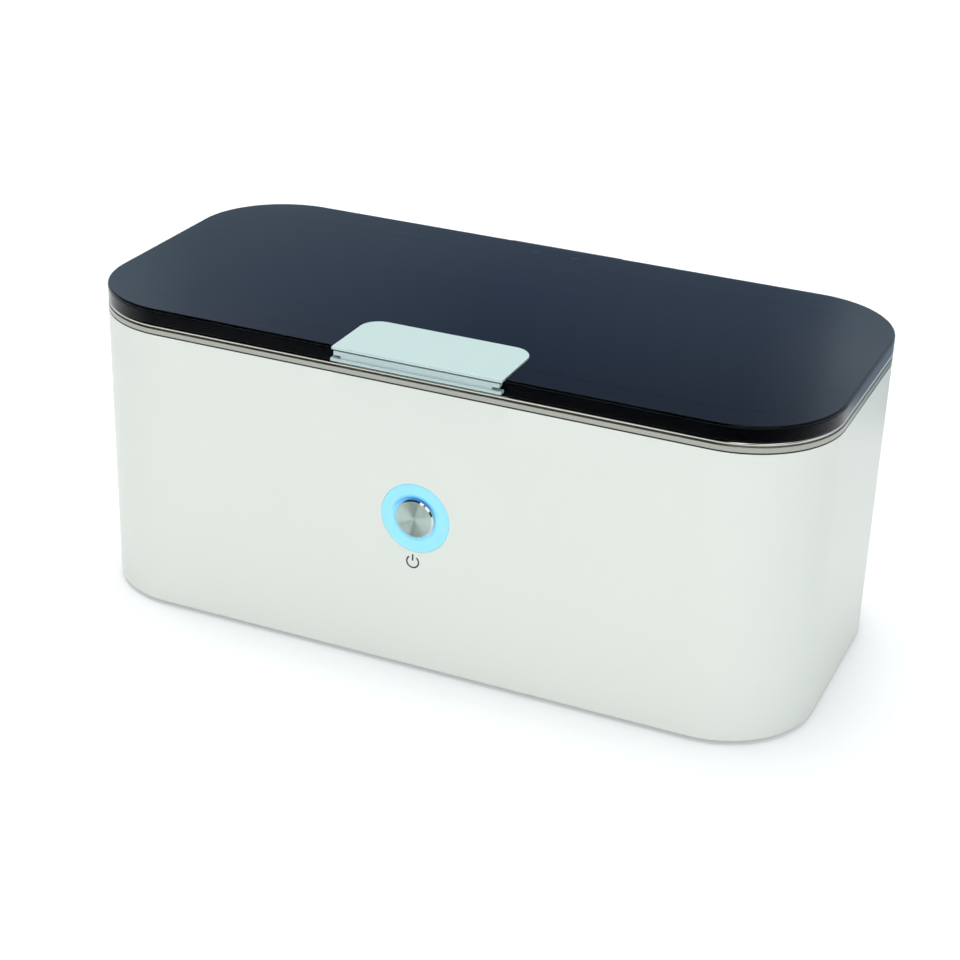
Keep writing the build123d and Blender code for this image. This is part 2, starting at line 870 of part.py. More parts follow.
# Hinge bracket: a plate on the back wall, two ears, and two bosses through the wall
ear_length = (hinge_length - knuckle_length) / 2 - knuckle_gap
bracket_back = rear_face + bracket_thick
bracket_foot = hinge_z - bracket_drop
bracket_top = hinge_z - bracket_top_drop
with BuildPart() as hinge_bracket:
    with BuildSketch(facing_front(rear_face)):
        with Locations((0, (bracket_foot + bracket_top) / 2)):
            Rectangle(hinge_length, bracket_top - bracket_foot)
    extrude(amount=-bracket_thick)
    lower_corners = hinge_bracket.edges().filter_by(Axis.Y).group_by(Axis.Z)[0]
    fillet(lower_corners, bracket_round)
    for ear_side in (-1, 1):
        with BuildSketch(facing_right(ear_side * (hinge_length - ear_length) / 2)):
            with BuildLine():
                Polyline(
                    (rear_face, bracket_top - bracket_thick),
                    (rear_face, hinge_z - knuckle_radius / 2),
                    (hinge_y, hinge_z),
                    (hinge_y + knuckle_radius * 0.9, hinge_z - knuckle_radius * 0.4),
                    (bracket_back, bracket_top - 2 * bracket_thick),
                    close=True,
                )
            make_face()
            with Locations((hinge_y, hinge_z)):
                Circle(knuckle_radius)
                Circle(hinge_pin_radius + pin_press_gap, mode=Mode.SUBTRACT)
        extrude(amount=ear_length / 2, both=True)
    with BuildSketch(facing_front(rear_face)):
        with Locations(*bracket_spots):
            Circle(bracket_boss_radius)
    extrude(amount=wall - trim_seam / 2)
    with BuildSketch(facing_front(rear_inside)):
        with Locations(*bracket_spots):
            Circle(bracket_screw_radius)
    extrude(amount=-bracket_screw_bite, mode=Mode.SUBTRACT)
save(hinge_bracket, "hinge_bracket")

hinge_screws = screws(
    Plane((0, house_y + rear_inside, 0), x_dir=(-1, 0, 0), z_dir=(0, 1, 0)),
    bracket_spots,
    bracket_head_radius,
    bracket_head_height,
    bracket_screw_radius,
    bracket_screw_bite,
)
save(hinge_screws, "hinge_screws")

with BuildPart() as hinge_pin:
    with BuildSketch(facing_right(0)):
        with Locations((hinge_y, hinge_z)):
            Circle(hinge_pin_radius)
    extrude(amount=hinge_length / 2 - pin_run_gap, both=True)
save(hinge_pin, "hinge_pin")

# Light ring: translucent collar in the front wall, lit from behind, which also guides the button
with BuildPart() as light_ring:
    with BuildSketch(facing_front(front_face - light_proud)):
        with Locations((0, button_z)):
            Circle(light_radius)
    extrude(amount=-(wall + light_proud))
    front_edges = light_ring.edges().group_by(Axis.Y)[0]
    fillet(front_edges, light_edge_round)
    with BuildSketch(facing_front(front_inside)):
        with Locations((0, button_z)):
            Circle(light_flange_radius)
    extrude(amount=-light_flange_thick)
    with BuildSketch(facing_front(front_face - light_proud)):
        with Locations((0, button_z)):
            Circle(light_bore)
    extrude(amount=-(wall + light_proud + light_flange_thick), mode=Mode.SUBTRACT)
save(light_ring, "light_ring")

# Button: spun metal cap on a plunger whose collar runs in the light ring
cap_front = front_face - cap_proud
cap_back = cap_front + cap_thick
with BuildPart() as button_cap:
    with BuildSketch(facing_front(cap_front)):
        with Locations((0, button_z)):
            Circle(cap_radius)
    extrude(amount=-cap_thick)
    chamfer(button_cap.edges().group_by(Axis.Y)[0], cap_bevel)
save(button_cap, "button_cap")

with BuildPart() as button_plunger:
    with BuildSketch(facing_front(cap_back)):
        with Locations((0, button_z)):
            Circle(cap_radius - cap_bevel)
    extrude(amount=-plunger_step)
    with BuildSketch(facing_front(cap_back + plunger_step)):
        with Locations((0, button_z)):
            Circle(light_bore - plunger_run_gap)
    extrude(amount=-(plunger_flange_front - cap_back - plunger_step))
    with BuildSketch(facing_front(plunger_flange_front)):
        with Locations((0, button_z)):
            Circle(plunger_flange_radius)
    extrude(amount=-plunger_flange_thick)
    with BuildSketch(facing_front(plunger_flange_back)):
        with Locations((0, button_z)):
            Circle(nub_radius)
    extrude(amount=-nub_length)
save(button_plunger, "button_plunger")

# Return spring between the plunger and the switch board
spring_front = plunger_flange_back + spring_wire + spring_seat_gap
spring_back = board_front - spring_wire - spring_seat_gap
with BuildPart() as button_spring:
    with BuildLine() as spring_line:
        Helix(
            pitch=(spring_back - spring_front) / spring_turns,
            height=spring_back - spring_front,
            radius=spring_radius,
            center=(0, house_y + spring_front, button_z),
            direction=(0, 1, 0),
        )
    with BuildSketch(Plane(spring_line.line @ 0, z_dir=spring_line.line % 0)):
        Circle(spring_wire)
    sweep(is_frenet=True)
save(button_spring, "button_spring")

# Switch board on its two bosses, with the push switch and the lamps of the ring
with BuildPart() as switch_board:
    with BuildSketch(facing_front(board_front)):
        with Locations((0, button_z)):
            RectangleRounded(switch_board_length, switch_board_height, wall)
        with Locations(*board_boss_spots):
            Circle(board_screw_radius + pin_run_gap, mode=Mode.SUBTRACT)
    extrude(amount=-switch_board_thick)
save(switch_board, "switch_board")

with BuildPart() as tact_switch:
    with BuildSketch(facing_front(board_front)):
        with Locations((0, button_z)):
            Rectangle(switch_body, switch_body)
    extrude(amount=switch_body_height)
    with BuildSketch(facing_front(board_front - switch_body_height)):
        with Locations((0, button_z)):
            Circle(switch_stem_radius)
    extrude(amount=switch_stem_height)
save(tact_switch, "tact_switch")

with BuildPart() as ring_leds:
    with BuildSketch(facing_front(board_front)):
        with Locations((0, button_z)):
            with PolarLocations(led_circle_radius, 4, start_angle=45):
                Rectangle(led_width, led_length)
    extrude(amount=led_height)
save(ring_leds, "ring_leds")

switch_board_screws = screws(
    facing_front(board_back),
    board_boss_spots,
    switch_head_radius,
    switch_head_height,
    board_screw_radius,
    switch_board_thick + switch_screw_length,
)
save(switch_board_screws, "switch_board_screws")

# Main board, its screws and what stands on it
with BuildPart() as main_board:
    with BuildSketch(level(main_board_bottom)):
        with Locations(((board_left + board_right) / 2, 0)):
            RectangleRounded(main_board_length, main_board_width, wall)
        with Locations(*post_spots):
            Circle(board_screw_radius + pin_run_gap, mode=Mode.SUBTRACT)
    extrude(amount=main_board_thick)
save(main_board, "main_board")

board_screws = screws(
    Plane((0, house_y, main_board_top), x_dir=(1, 0, 0), z_dir=(0, 0, -1)),
    [(x, -y) for x, y in post_spots],
    main_head_radius,
    main_head_height,
    board_screw_radius,
    main_screw_length,
)
save(board_screws, "board_screws")

window_height = core_height - 2 * core_yoke
window_width = (core_length - core_leg - 2 * core_yoke) / 2
winding_bore_x = core_leg + 2 * winding_gap
winding_bore_y = core_width + 2 * winding_gap
with BuildPart() as transformer_core:
    with BuildSketch(level(main_board_top)):
        with Locations((transformer_x, 0)):
            Rectangle(core_length, core_width)
    extrude(amount=core_height)
    with BuildSketch(facing_front(-core_width / 2)):
        with Locations((transformer_x, main_board_top + core_height / 2)):
            with GridLocations(core_leg + window_width, 0, 2, 1):
                Rectangle(window_width, window_height)
    extrude(amount=-core_width, mode=Mode.SUBTRACT)
save(transformer_core, "transformer_core")

with BuildPart() as transformer_winding:
    with BuildSketch(level(main_board_top + core_yoke + winding_gap)):
        with Locations((transformer_x, 0)):
            RectangleRounded(winding_bore_x + 2 * winding_wall, winding_bore_y + 2 * winding_wall, core_yoke)
            Rectangle(winding_bore_x, winding_bore_y, mode=Mode.SUBTRACT)
    extrude(amount=window_height - 2 * winding_gap)
save(transformer_winding, "transformer_winding")

with BuildPart() as filter_capacitor:
    with BuildSketch(level(main_board_top)):
        with Locations((capacitor_x, capacitor_y)):
            Circle(capacitor_radius)
    extrude(amount=capacitor_height)
    fillet(filter_capacitor.edges().group_by(Axis.Z)[-1], capacitor_radius / 8)
save(filter_capacitor, "filter_capacitor")

with BuildPart() as film_capacitors:
    with BuildSketch(level(main_board_top)):
        with Locations((film_x, film_y)):
            with GridLocations(0, film_width + film_gap, 1, 2):
                Rectangle(film_length, film_width)
    extrude(amount=film_height)
    fillet(film_capacitors.edges().filter_by(Axis.Z), film_width / 8)
save(film_capacitors, "film_capacitors")

with BuildPart() as choke:
    with BuildSketch(level(main_board_top)):
        with Locations((choke_x, choke_y)):
            Circle(choke_radius)
            Circle(choke_bore_radius, mode=Mode.SUBTRACT)
    extrude(amount=choke_height)
    fillet(choke.edges().group_by(Axis.Z)[-1], choke_height / 5)
save(choke, "choke")

with BuildPart() as heat_sink:
    with BuildSketch(level(main_board_top)):
        with Locations((sink_x, sink_y - sink_back / 2)):
            Rectangle(sink_length, sink_back)
        with Locations((sink_x, sink_y - sink_depth / 2)):
            with GridLocations((sink_length - sink_fin) / (sink_fins - 1), 0, sink_fins, 1):
                Rectangle(sink_fin, sink_depth)
    extrude(amount=sink_height)
save(heat_sink, "heat_sink")

transistor_tab_z = main_board_top + transistor_leg_height
with BuildPart() as power_transistors:
    with BuildSketch(level(transistor_tab_z)):
        with Locations((sink_x, sink_y + transistor_tab / 2)):
            with GridLocations(transistor_spacing, 0, 2, 1):
                Rectangle(transistor_width, transistor_tab)
    extrude(amount=sink_height - transistor_leg_height)
    with BuildSketch(level(transistor_tab_z)):
        with Locations((sink_x, sink_y + transistor_tab + transistor_body_depth / 2)):
            with GridLocations(transistor_spacing, 0, 2, 1):
                Rectangle(transistor_width, transistor_body_depth)
    extrude(amount=transistor_body_height)
    with BuildSketch(level(main_board_top)):
        with Locations((sink_x, sink_y + transistor_tab + transistor_body_depth / 2)):
            with GridLocations(transistor_spacing, 0, 2, 1):
                with GridLocations(transistor_leg_spacing, 0, 3, 1):
                    Rectangle(transistor_leg, transistor_leg)
    extrude(amount=transistor_leg_height)
save(power_transistors, "power_transistors")

fuse_z = main_board_top + fuse_lift
with BuildPart() as mains_fuse:
    with BuildSketch(facing_right(fuse_x)):
        with Locations((fuse_y, fuse_z)):
            Circle(fuse_radius)
    extrude(amount=fuse_length / 2, both=True)
    for fuse_end in (-1, 1):
        with BuildSketch(facing_right(fuse_x + fuse_end * (fuse_length - fuse_cap_length) / 2)):
            with Locations((fuse_y, fuse_z)):
                Circle(fuse_cap_radius)
        extrude(amount=fuse_cap_length / 2, both=True)
save(mains_fuse, "mains_fuse")

clip_half = fuse_cap_radius + clip_wall + pin_run_gap
with BuildPart() as fuse_clips:
    for fuse_end in (-1, 1):
        with BuildSketch(facing_right(fuse_x + fuse_end * (fuse_length - fuse_cap_length) / 2)):
            with Locations((fuse_y, (main_board_top + fuse_z) / 2)):
                Rectangle(2 * clip_half, fuse_lift)
            with Locations((fuse_y, fuse_z)):
                Circle(fuse_cap_radius + pin_run_gap, mode=Mode.SUBTRACT)
        extrude(amount=fuse_cap_length / 3, both=True)
save(fuse_clips, "fuse_clips")

with BuildPart() as board_connectors:
    with BuildSketch(level(main_board_top)):
        with Locations(
            (left_plug_x, left_plug_y), (right_plug_x, right_plug_y), (switch_plug_x, switch_plug_y)
        ):
            Rectangle(plug_short, plug_width)
        with Locations((inlet_x, mains_plug_y)):
            Rectangle(plug_long, plug_width)
    extrude(amount=plug_height)
    fillet(board_connectors.edges().filter_by(Axis.Z), plug_width / 12)
save(board_connectors, "board_connectors")

# Mains inlet: flanged two-pole socket in the back wall, held by ribs behind the wall
inlet_mouth = rear_face + inlet_flange_thick
with BuildPart() as inlet_socket:
    with BuildSketch(facing_front(inlet_mouth)):
        with Locations((inlet_x, inlet_z)):
            RectangleRounded(inlet_flange_length, inlet_flange_height, inlet_flange_round)
    extrude(amount=inlet_flange_thick)
    fillet(inlet_socket.edges().group_by(Axis.Y)[-1], inlet_flange_thick / 3)
    with BuildSketch(facing_front(rear_face)):
        with Locations((inlet_x, inlet_z)):
            RectangleRounded(inlet_body_length, inlet_body_height, inlet_body_round)
    extrude(amount=inlet_body_depth)
    with BuildSketch(facing_front(rear_inside - inlet_fit)):
        with Locations((inlet_x, inlet_z)):
            Rectangle(inlet_rib_length, inlet_body_height + 2 * inlet_rib)
    extrude(amount=inlet_rib_depth)
    with BuildSketch(facing_front(inlet_mouth)):
        with Locations((inlet_x, inlet_z)):
            SlotOverall(inlet_cavity_length, inlet_cavity_height)
    extrude(amount=inlet_cavity_depth, mode=Mode.SUBTRACT)
    with BuildSketch(facing_front(rear_face)):
        with Locations((inlet_x, inlet_z)):
            with GridLocations(inlet_pin_spacing, 0, 2, 1):
                Circle(inlet_pin_radius + pin_press_gap)
    extrude(amount=inlet_body_depth, mode=Mode.SUBTRACT)
save(inlet_socket, "inlet_socket")

inlet_tab_end = rear_face - inlet_body_depth - inlet_tab_length
with BuildPart() as inlet_pins:
    with BuildSketch(facing_front(inlet_mouth - inlet_pin_setback)):
        with Locations((inlet_x, inlet_z)):
            with GridLocations(inlet_pin_spacing, 0, 2, 1):
                Circle(inlet_pin_radius)
    extrude(amount=inlet_mouth - inlet_pin_setback - inlet_tab_end)
    fillet(inlet_pins.edges().group_by(Axis.Y)[-1], inlet_pin_radius / 2)
save(inlet_pins, "inlet_pins")

# Wires: inlet to board, board to drivers, and board to switch
plug_top = main_board_top + plug_height
inlet_wires = wires(
    [
        (
            (inlet_x + pole * inlet_pin_spacing / 2, house_y + inlet_tab_end, inlet_z),
            (inlet_x + pole * inlet_pin_spacing / 2, house_y + mains_plug_y, inlet_z),
            (inlet_x + pole * inlet_pin_spacing / 2, house_y + mains_plug_y, plug_top),
        )
        for pole in (-1, 1)
    ],
    wire_radius,
    wire_bend,
)
save(inlet_wires, "inlet_wires")

driver_turn = (piezo_bottom + plug_top) / 2
left_joint_y = left_plug_y + driver_wire_run
right_joint_y = right_plug_y - driver_wire_run
transducer_wires = wires(
    [
        (
            (left_plug_x, house_y + left_joint_y, piezo_bottom),
            (left_plug_x, house_y + left_joint_y, driver_turn),
            (left_plug_x, house_y + left_plug_y, driver_turn),
            (left_plug_x, house_y + left_plug_y, plug_top),
        ),
        (
            (right_plug_x, house_y + right_joint_y, piezo_bottom),
            (right_plug_x, house_y + right_joint_y, driver_turn),
            (right_plug_x, house_y + right_plug_y, driver_turn),
            (right_plug_x, house_y + right_plug_y, plug_top),
        ),
    ],
    wire_radius,
    wire_bend,
)
save(transducer_wires, "transducer_wires")

switch_wire_y = (board_front + board_back) / 2
switch_turn_z = plug_top + thin_wire_bend
switch_wires = wires(
    [
        (
            (switch_lead_x + lane, house_y + switch_wire_y, button_z - switch_board_height / 2),
            (switch_lead_x + lane, house_y + switch_wire_y, switch_turn_z),
            (switch_plug_x + lane, house_y + switch_plug_y, switch_turn_z),
            (switch_plug_x + lane, house_y + switch_plug_y, plug_top),
        )
        for lane in (-thin_wire_spacing, 0, thin_wire_spacing)
    ],
    thin_wire_radius,
    thin_wire_bend,
)
save(switch_wires, "switch_wires")

print("Housing centre at y", round(house_y, 4))
print("Hinge axis at y", round(house_y + hinge_y, 4), "z", round(hinge_z, 4))
print("Inside floor of the tank at z", round(tank_floor + tank_sheet, 4))
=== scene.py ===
"""Looks of a household ultrasonic jewellery cleaner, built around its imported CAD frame.

Every piece is in metres, in the frame of the solids: +X to the right of the button side, +Y to the
back, +Z up. Sizes inside the classes are in millimetres and go through mm() where a mesh is made.
"""

import json
import logging
import math
from dataclasses import dataclass
from enum import Enum

import bmesh
import bpy
from mathutils import Matrix, Vector

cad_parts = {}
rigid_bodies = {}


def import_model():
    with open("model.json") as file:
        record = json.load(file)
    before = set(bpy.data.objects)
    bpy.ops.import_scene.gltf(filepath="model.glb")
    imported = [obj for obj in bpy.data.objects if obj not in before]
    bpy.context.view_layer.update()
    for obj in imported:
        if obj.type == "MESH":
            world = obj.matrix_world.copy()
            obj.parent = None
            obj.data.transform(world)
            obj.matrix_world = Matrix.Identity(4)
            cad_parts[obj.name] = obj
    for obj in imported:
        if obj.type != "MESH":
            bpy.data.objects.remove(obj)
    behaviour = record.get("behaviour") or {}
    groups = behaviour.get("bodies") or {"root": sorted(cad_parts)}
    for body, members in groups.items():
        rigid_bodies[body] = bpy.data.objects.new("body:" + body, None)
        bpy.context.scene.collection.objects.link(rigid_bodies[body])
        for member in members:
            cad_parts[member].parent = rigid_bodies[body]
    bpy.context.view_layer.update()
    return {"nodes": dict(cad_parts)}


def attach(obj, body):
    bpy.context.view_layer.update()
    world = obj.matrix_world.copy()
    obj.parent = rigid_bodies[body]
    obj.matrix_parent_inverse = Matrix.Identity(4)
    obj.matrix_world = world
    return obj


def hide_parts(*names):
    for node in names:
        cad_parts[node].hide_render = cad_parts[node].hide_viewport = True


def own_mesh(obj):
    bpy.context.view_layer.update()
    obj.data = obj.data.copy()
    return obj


log = logging.getLogger("jewellery_cleaner")

IMAGE_WIDTH = 960
SENSOR_WIDTH = 36.0
ORIGIN = (0.0, 0.0, 0.0)
# Millimetres: points nearer than MERGED become one, and a cutting shape runs PAST what it cuts
MERGED = 0.002
PAST = 1.0
# Degrees: an edge above SHARP stays sharp, and one above ROUNDED is rounded by soften()
SHARP = 32.0
ROUNDED = 35.0
# Faces round a turned piece: one that is seen up close, and one that is covered
FINE_STEPS = 96
PLAIN_STEPS = 32

Point = tuple[float, float, float]
Span = tuple[float, float]
Profile = list[Span]
Colour = tuple[float, float, float, float]
Levels = tuple[tuple[float, float | str], ...]
Mesh = bmesh.types.BMesh
Piece = bpy.types.Object
Socket = bpy.types.NodeSocket
Tree = bpy.types.NodeTree


class Body(Enum):
    """The rigid bodies of the frame that pieces ride on."""

    CLEANER = "cleaner"
    LID = "lid"
    BUTTON = "button"


class Axis(Enum):
    """The direction that a pattern or a turned piece's axis runs in."""

    X = "x"
    Y = "y"
    Z = "z"


def mm(value: float) -> float:
    """Turns millimetres into metres."""
    return value * 0.001


def linear(colour: str) -> Colour:
    """Turns an sRGB hex colour into linear light.

    Args:
        colour: Six hex digits after a hash sign.

    Returns:
        Red, green, blue and a full alpha.
    """
    parts = [int(colour[i : i + 2], 16) / 255 for i in (1, 3, 5)]
    light = [p / 12.92 if p <= 0.04045 else ((p + 0.055) / 1.055) ** 2.4 for p in parts]
    return (light[0], light[1], light[2], 1.0)


def ramp_stops(levels: Levels, low: float) -> list[tuple[float, Colour]]:
    """Turns levels along a direction into the stops of a colour ramp.

    Args:
        levels: Each level's place, from low to 1, with its colour or its share of white.
        low: The place where the ramp starts.

    Returns:
        Each stop's position, from 0 to 1, and its linear colour.
    """
    return [
        ((place - low) / (1 - low), linear(tone) if isinstance(tone, str) else (tone, tone, tone, 1.0))
        for place, tone in levels
    ]


def set_stops(stops: bpy.types.ColorRampElements, wanted: list[tuple[float, Colour]]) -> None:
    """Gives a new colour ramp its stops.

    Args:
        stops: The ramp's own two stops, which become the first and the last.
        wanted: Each stop's position and colour, in rising order.
    """
    stops[0].position, stops[0].color = wanted[0]
    stops[1].position, stops[1].color = wanted[-1]
    for position, colour in wanted[1:-1]:
        stops.new(position).color = colour


def add_node(
    tree: Tree, kind: str, settings: dict | None = None, links: dict | None = None
) -> bpy.types.Node:
    """Adds a node to a tree.

    Args:
        tree: The node tree that takes it.
        kind: The node's type name.
        settings: Attributes by name, input values by socket name or number, and "stops" for a ramp.
        links: Output sockets by the input socket name or number that they go to.

    Returns:
        The new node.
    """
    node = tree.nodes.new(kind)
    for key, value in (settings or {}).items():
        if key == "stops":
            set_stops(node.color_ramp.elements, value)
        elif isinstance(key, str) and key.islower() and hasattr(node, key):
            setattr(node, key, value)
        else:
            node.inputs[key].default_value = value
    for key, output in (links or {}).items():
        tree.links.new(output, node.inputs[key])
    return node


# Sizes that several assemblies share


@dataclass(frozen=True)
class Plan:
    """The rounded outline that the housing, the trim band and the lid share."""

    length: float = 205.0
    width: float = 96.0
    radius: float = 26.0
    segments: int = 28
    centre_y: float = -1.9567

    @property
    def front(self) -> float:
        """The front face's y."""
        return self.centre_y - self.width / 2

    @property
    def rear(self) -> float:
        """The rear face's y."""
        return self.centre_y + self.width / 2


PLAN = Plan()
BUTTON_CENTRE: Point = (0.0, PLAN.front, 45.0)


# Finishes


@dataclass(frozen=True)
class Draft:
    """A material in the making: its nodes, its shader, its output and the object coordinates."""

    tree: Tree
    shader: bpy.types.Node
    output: bpy.types.Node
    place: Socket

    def vary_gloss(self, pattern: Socket, low: float, high: float) -> None:
        """Lets a pattern vary how rough the surface is.

        Args:
            pattern: The pattern, from 0 to 1.
            low: The roughness where the pattern is 0.
            high: The roughness where the pattern is 1.
        """
        settings = {"To Min": low, "To Max": min(1.0, high)}
        gloss = add_node(self.tree, "ShaderNodeMapRange", settings, {"Value": pattern})
        self.tree.links.new(gloss.outputs["Result"], self.shader.inputs["Roughness"])

    def emboss(self, pattern: Socket, height: float, strength: float) -> None:
        """Raises a pattern from the surface.

        Args:
            pattern: The pattern, from 0 to 1.
            height: How high it rises, in millimetres.
            strength: How much of that the light sees.
        """
        settings = {"Strength": strength, "Distance": mm(height)}
        bump = add_node(self.tree, "ShaderNodeBump", settings, {"Height": pattern})
        self.tree.links.new(bump.outputs["Normal"], self.shader.inputs["Normal"])

    def from_centre(self, centre: Point) -> Socket:
        """Gives the way from a point to each place on the surface.

        Args:
            centre: The point, in millimetres.

        Returns:
            The vector's socket.
        """
        settings = {"operation": "SUBTRACT", 1: [mm(value) for value in centre]}
        return add_node(self.tree, "ShaderNodeVectorMath", settings, {0: self.place}).outputs["Vector"]


@dataclass(frozen=True)
class Finish:
    """What every finish shares: the material's name, its sRGB colour and how rough the surface is."""

    name: str
    colour: str
    roughness: float

    def build(self) -> bpy.types.Material:
        """Makes the material.

        Returns:
            The new material.
        """
        material = bpy.data.materials.new(self.name)
        material.use_nodes = True
        tree = material.node_tree
        tree.nodes.clear()
        settings = {"Base Color": linear(self.colour), "Roughness": self.roughness, **self.sockets()}
        shader = add_node(tree, "ShaderNodeBsdfPrincipled", settings)
        output = add_node(tree, "ShaderNodeOutputMaterial", links={"Surface": shader.outputs["BSDF"]})
        place = add_node(tree, "ShaderNodeTexCoord").outputs["Object"]
        self.texture(Draft(tree, shader, output, place))
        return material

    def sockets(self) -> dict:
        """Gives the shader's other plain values."""
        return {}

    def texture(self, draft: Draft) -> None:
        """Draws what the surface shows up close. Each kind of finish has its own."""
        raise NotImplementedError


@dataclass(frozen=True)
class MouldedPlastic(Finish):
    """Injection-moulded plastic: faint flow clouds in the colour and a fine spark-eroded grain."""

    cloud_size: float = 40.0
    cloud_depth: float = 0.02
    # The real grain is near 0.1 mm across, too fine to show, so it is drawn coarser
    grain_size: float = 0.35
    grain_height: float = 0.004
    relief: float = 0.35
    gloss_spread: float = 0.1
    ior: float = 1.53

    def sockets(self) -> dict:
        """Gives the shader's other plain values."""
        return {"IOR": self.ior}

    def texture(self, draft: Draft) -> None:
        """Draws the clouds and the grain.

        Args:
            draft: The material so far.
        """
        tree, where = draft.tree, {"Vector": draft.place}
        cloud = {"Scale": 1 / mm(self.cloud_size), "Detail": 2.0}
        clouds = add_node(tree, "ShaderNodeTexNoise", cloud, where)
        shade = add_node(
            tree, "ShaderNodeMapRange", {"To Min": 1 - self.cloud_depth}, {"Value": clouds.outputs["Fac"]}
        )
        tint = add_node(
            tree,
            "ShaderNodeMix",
            {"data_type": "RGBA", "blend_type": "MULTIPLY", "Factor": 1.0, 6: linear(self.colour)},
            {7: shade.outputs["Result"]},
        )
        tree.links.new(tint.outputs[2], draft.shader.inputs["Base Color"])
        pit = {"Scale": 1 / mm(self.grain_size), "Detail": 3.0}
        grain = add_node(tree, "ShaderNodeTexNoise", pit, where).outputs["Fac"]
        low, high = self.roughness * (1 - self.gloss_spread), self.roughness * (1 + self.gloss_spread)
        draft.vary_gloss(grain, low, high)
        draft.emboss(grain, self.grain_height, self.relief)


@dataclass(frozen=True)
class SmokedAcrylic(Finish):
    """Tinted clear acrylic or glass. Its depth soaks up light, so thick runs go dark and thin ones pale."""

    haze_size: float = 55.0
    haze_gloss: Span = (0.8, 1.4)
    ior: float = 1.49
    sheen_tint: str = "#7d8ba0"
    smoke: Point = (0.0, 0.18, 0.32)
    depth: float = 8.0

    def sockets(self) -> dict:
        """Gives the shader's other plain values."""
        return {"IOR": self.ior, "Transmission Weight": 1.0, "Specular Tint": linear(self.sheen_tint)}

    def texture(self, draft: Draft) -> None:
        """Draws the faint haze of polishing and fills the inside with smoke.

        Args:
            draft: The material so far.
        """
        haze = add_node(
            draft.tree,
            "ShaderNodeTexNoise",
            {"Scale": 1 / mm(self.haze_size), "Detail": 2.0},
            {"Vector": draft.place},
        )
        low, high = (self.roughness * share for share in self.haze_gloss)
        draft.vary_gloss(haze.outputs["Fac"], low, high)
        soaked = {"Color": (*self.smoke, 1.0), "Density": 1 / mm(self.depth)}
        soak = add_node(draft.tree, "ShaderNodeVolumeAbsorption", soaked)
        draft.tree.links.new(soak.outputs["Volume"], draft.output.inputs["Volume"])


@dataclass(frozen=True)
class BrushedMetal(Finish):
    """Metal brushed or drawn in long parallel strokes: streaks in the roughness and a ridge along them."""

    along: Axis = Axis.X
    stroke_length: float = 18.0
    # Real strokes are near 0.03 mm wide, too fine to show, so they are drawn coarser
    stroke_width: float = 0.12
    stroke_height: float = 0.002
    relief: float = 0.4
    streak: float = 0.25
    anisotropic: float = 0.4
    metallic: float = 1.0

    def sockets(self) -> dict:
        """Gives the shader's other plain values."""
        return {"Metallic": self.metallic, "Anisotropic": self.anisotropic}

    def texture(self, draft: Draft) -> None:
        """Draws the strokes.

        Args:
            draft: The material so far.
        """
        stretch = [1 / mm(self.stroke_width)] * 3
        stretch["xyz".index(self.along.value)] = 1 / mm(self.stroke_length)
        scaled = add_node(draft.tree, "ShaderNodeMapping", {"Scale": stretch}, {"Vector": draft.place})
        strokes = add_node(
            draft.tree,
            "ShaderNodeTexNoise",
            {"Scale": 1.0, "Detail": 4.0},
            {"Vector": scaled.outputs["Vector"]},
        )
        low, high = self.roughness * (1 - self.streak), self.roughness * (1 + self.streak)
        draft.vary_gloss(strokes.outputs["Fac"], low, high)
        draft.emboss(strokes.outputs["Fac"], self.stroke_height, self.relief)


@dataclass(frozen=True)
class SpunMetal(Finish):
    """Metal faced on a lathe: fine rings round the middle that spread a highlight into fans."""

    centre: Point = BUTTON_CENTRE
    # Real rings are near 0.05 mm apart, too fine to show, so they are drawn coarser
    ring_pitch: float = 0.16
    ring_height: float = 0.004
    relief: float = 0.5

    def sockets(self) -> dict:
        """Gives the shader's other plain values."""
        return {"Metallic": 1.0, "Anisotropic": 1.0}

    def texture(self, draft: Draft) -> None:
        """Draws the rings and turns the highlight's direction with them.

        Args:
            draft: The material so far.
        """
        tree, middle = draft.tree, draft.from_centre(self.centre)
        distance = add_node(tree, "ShaderNodeVectorMath", {"operation": "LENGTH"}, {0: middle})
        rings = add_node(
            tree,
            "ShaderNodeTexNoise",
            {"noise_dimensions": "1D", "Scale": 1 / mm(self.ring_pitch), "Detail": 3.0},
            {"W": distance.outputs["Value"]},
        )
        draft.emboss(rings.outputs["Fac"], self.ring_height, self.relief)
        tangent = add_node(tree, "ShaderNodeVectorMath", {"operation": "NORMALIZE"}, {0: middle})
        tree.links.new(tangent.outputs["Vector"], draft.shader.inputs["Tangent"])


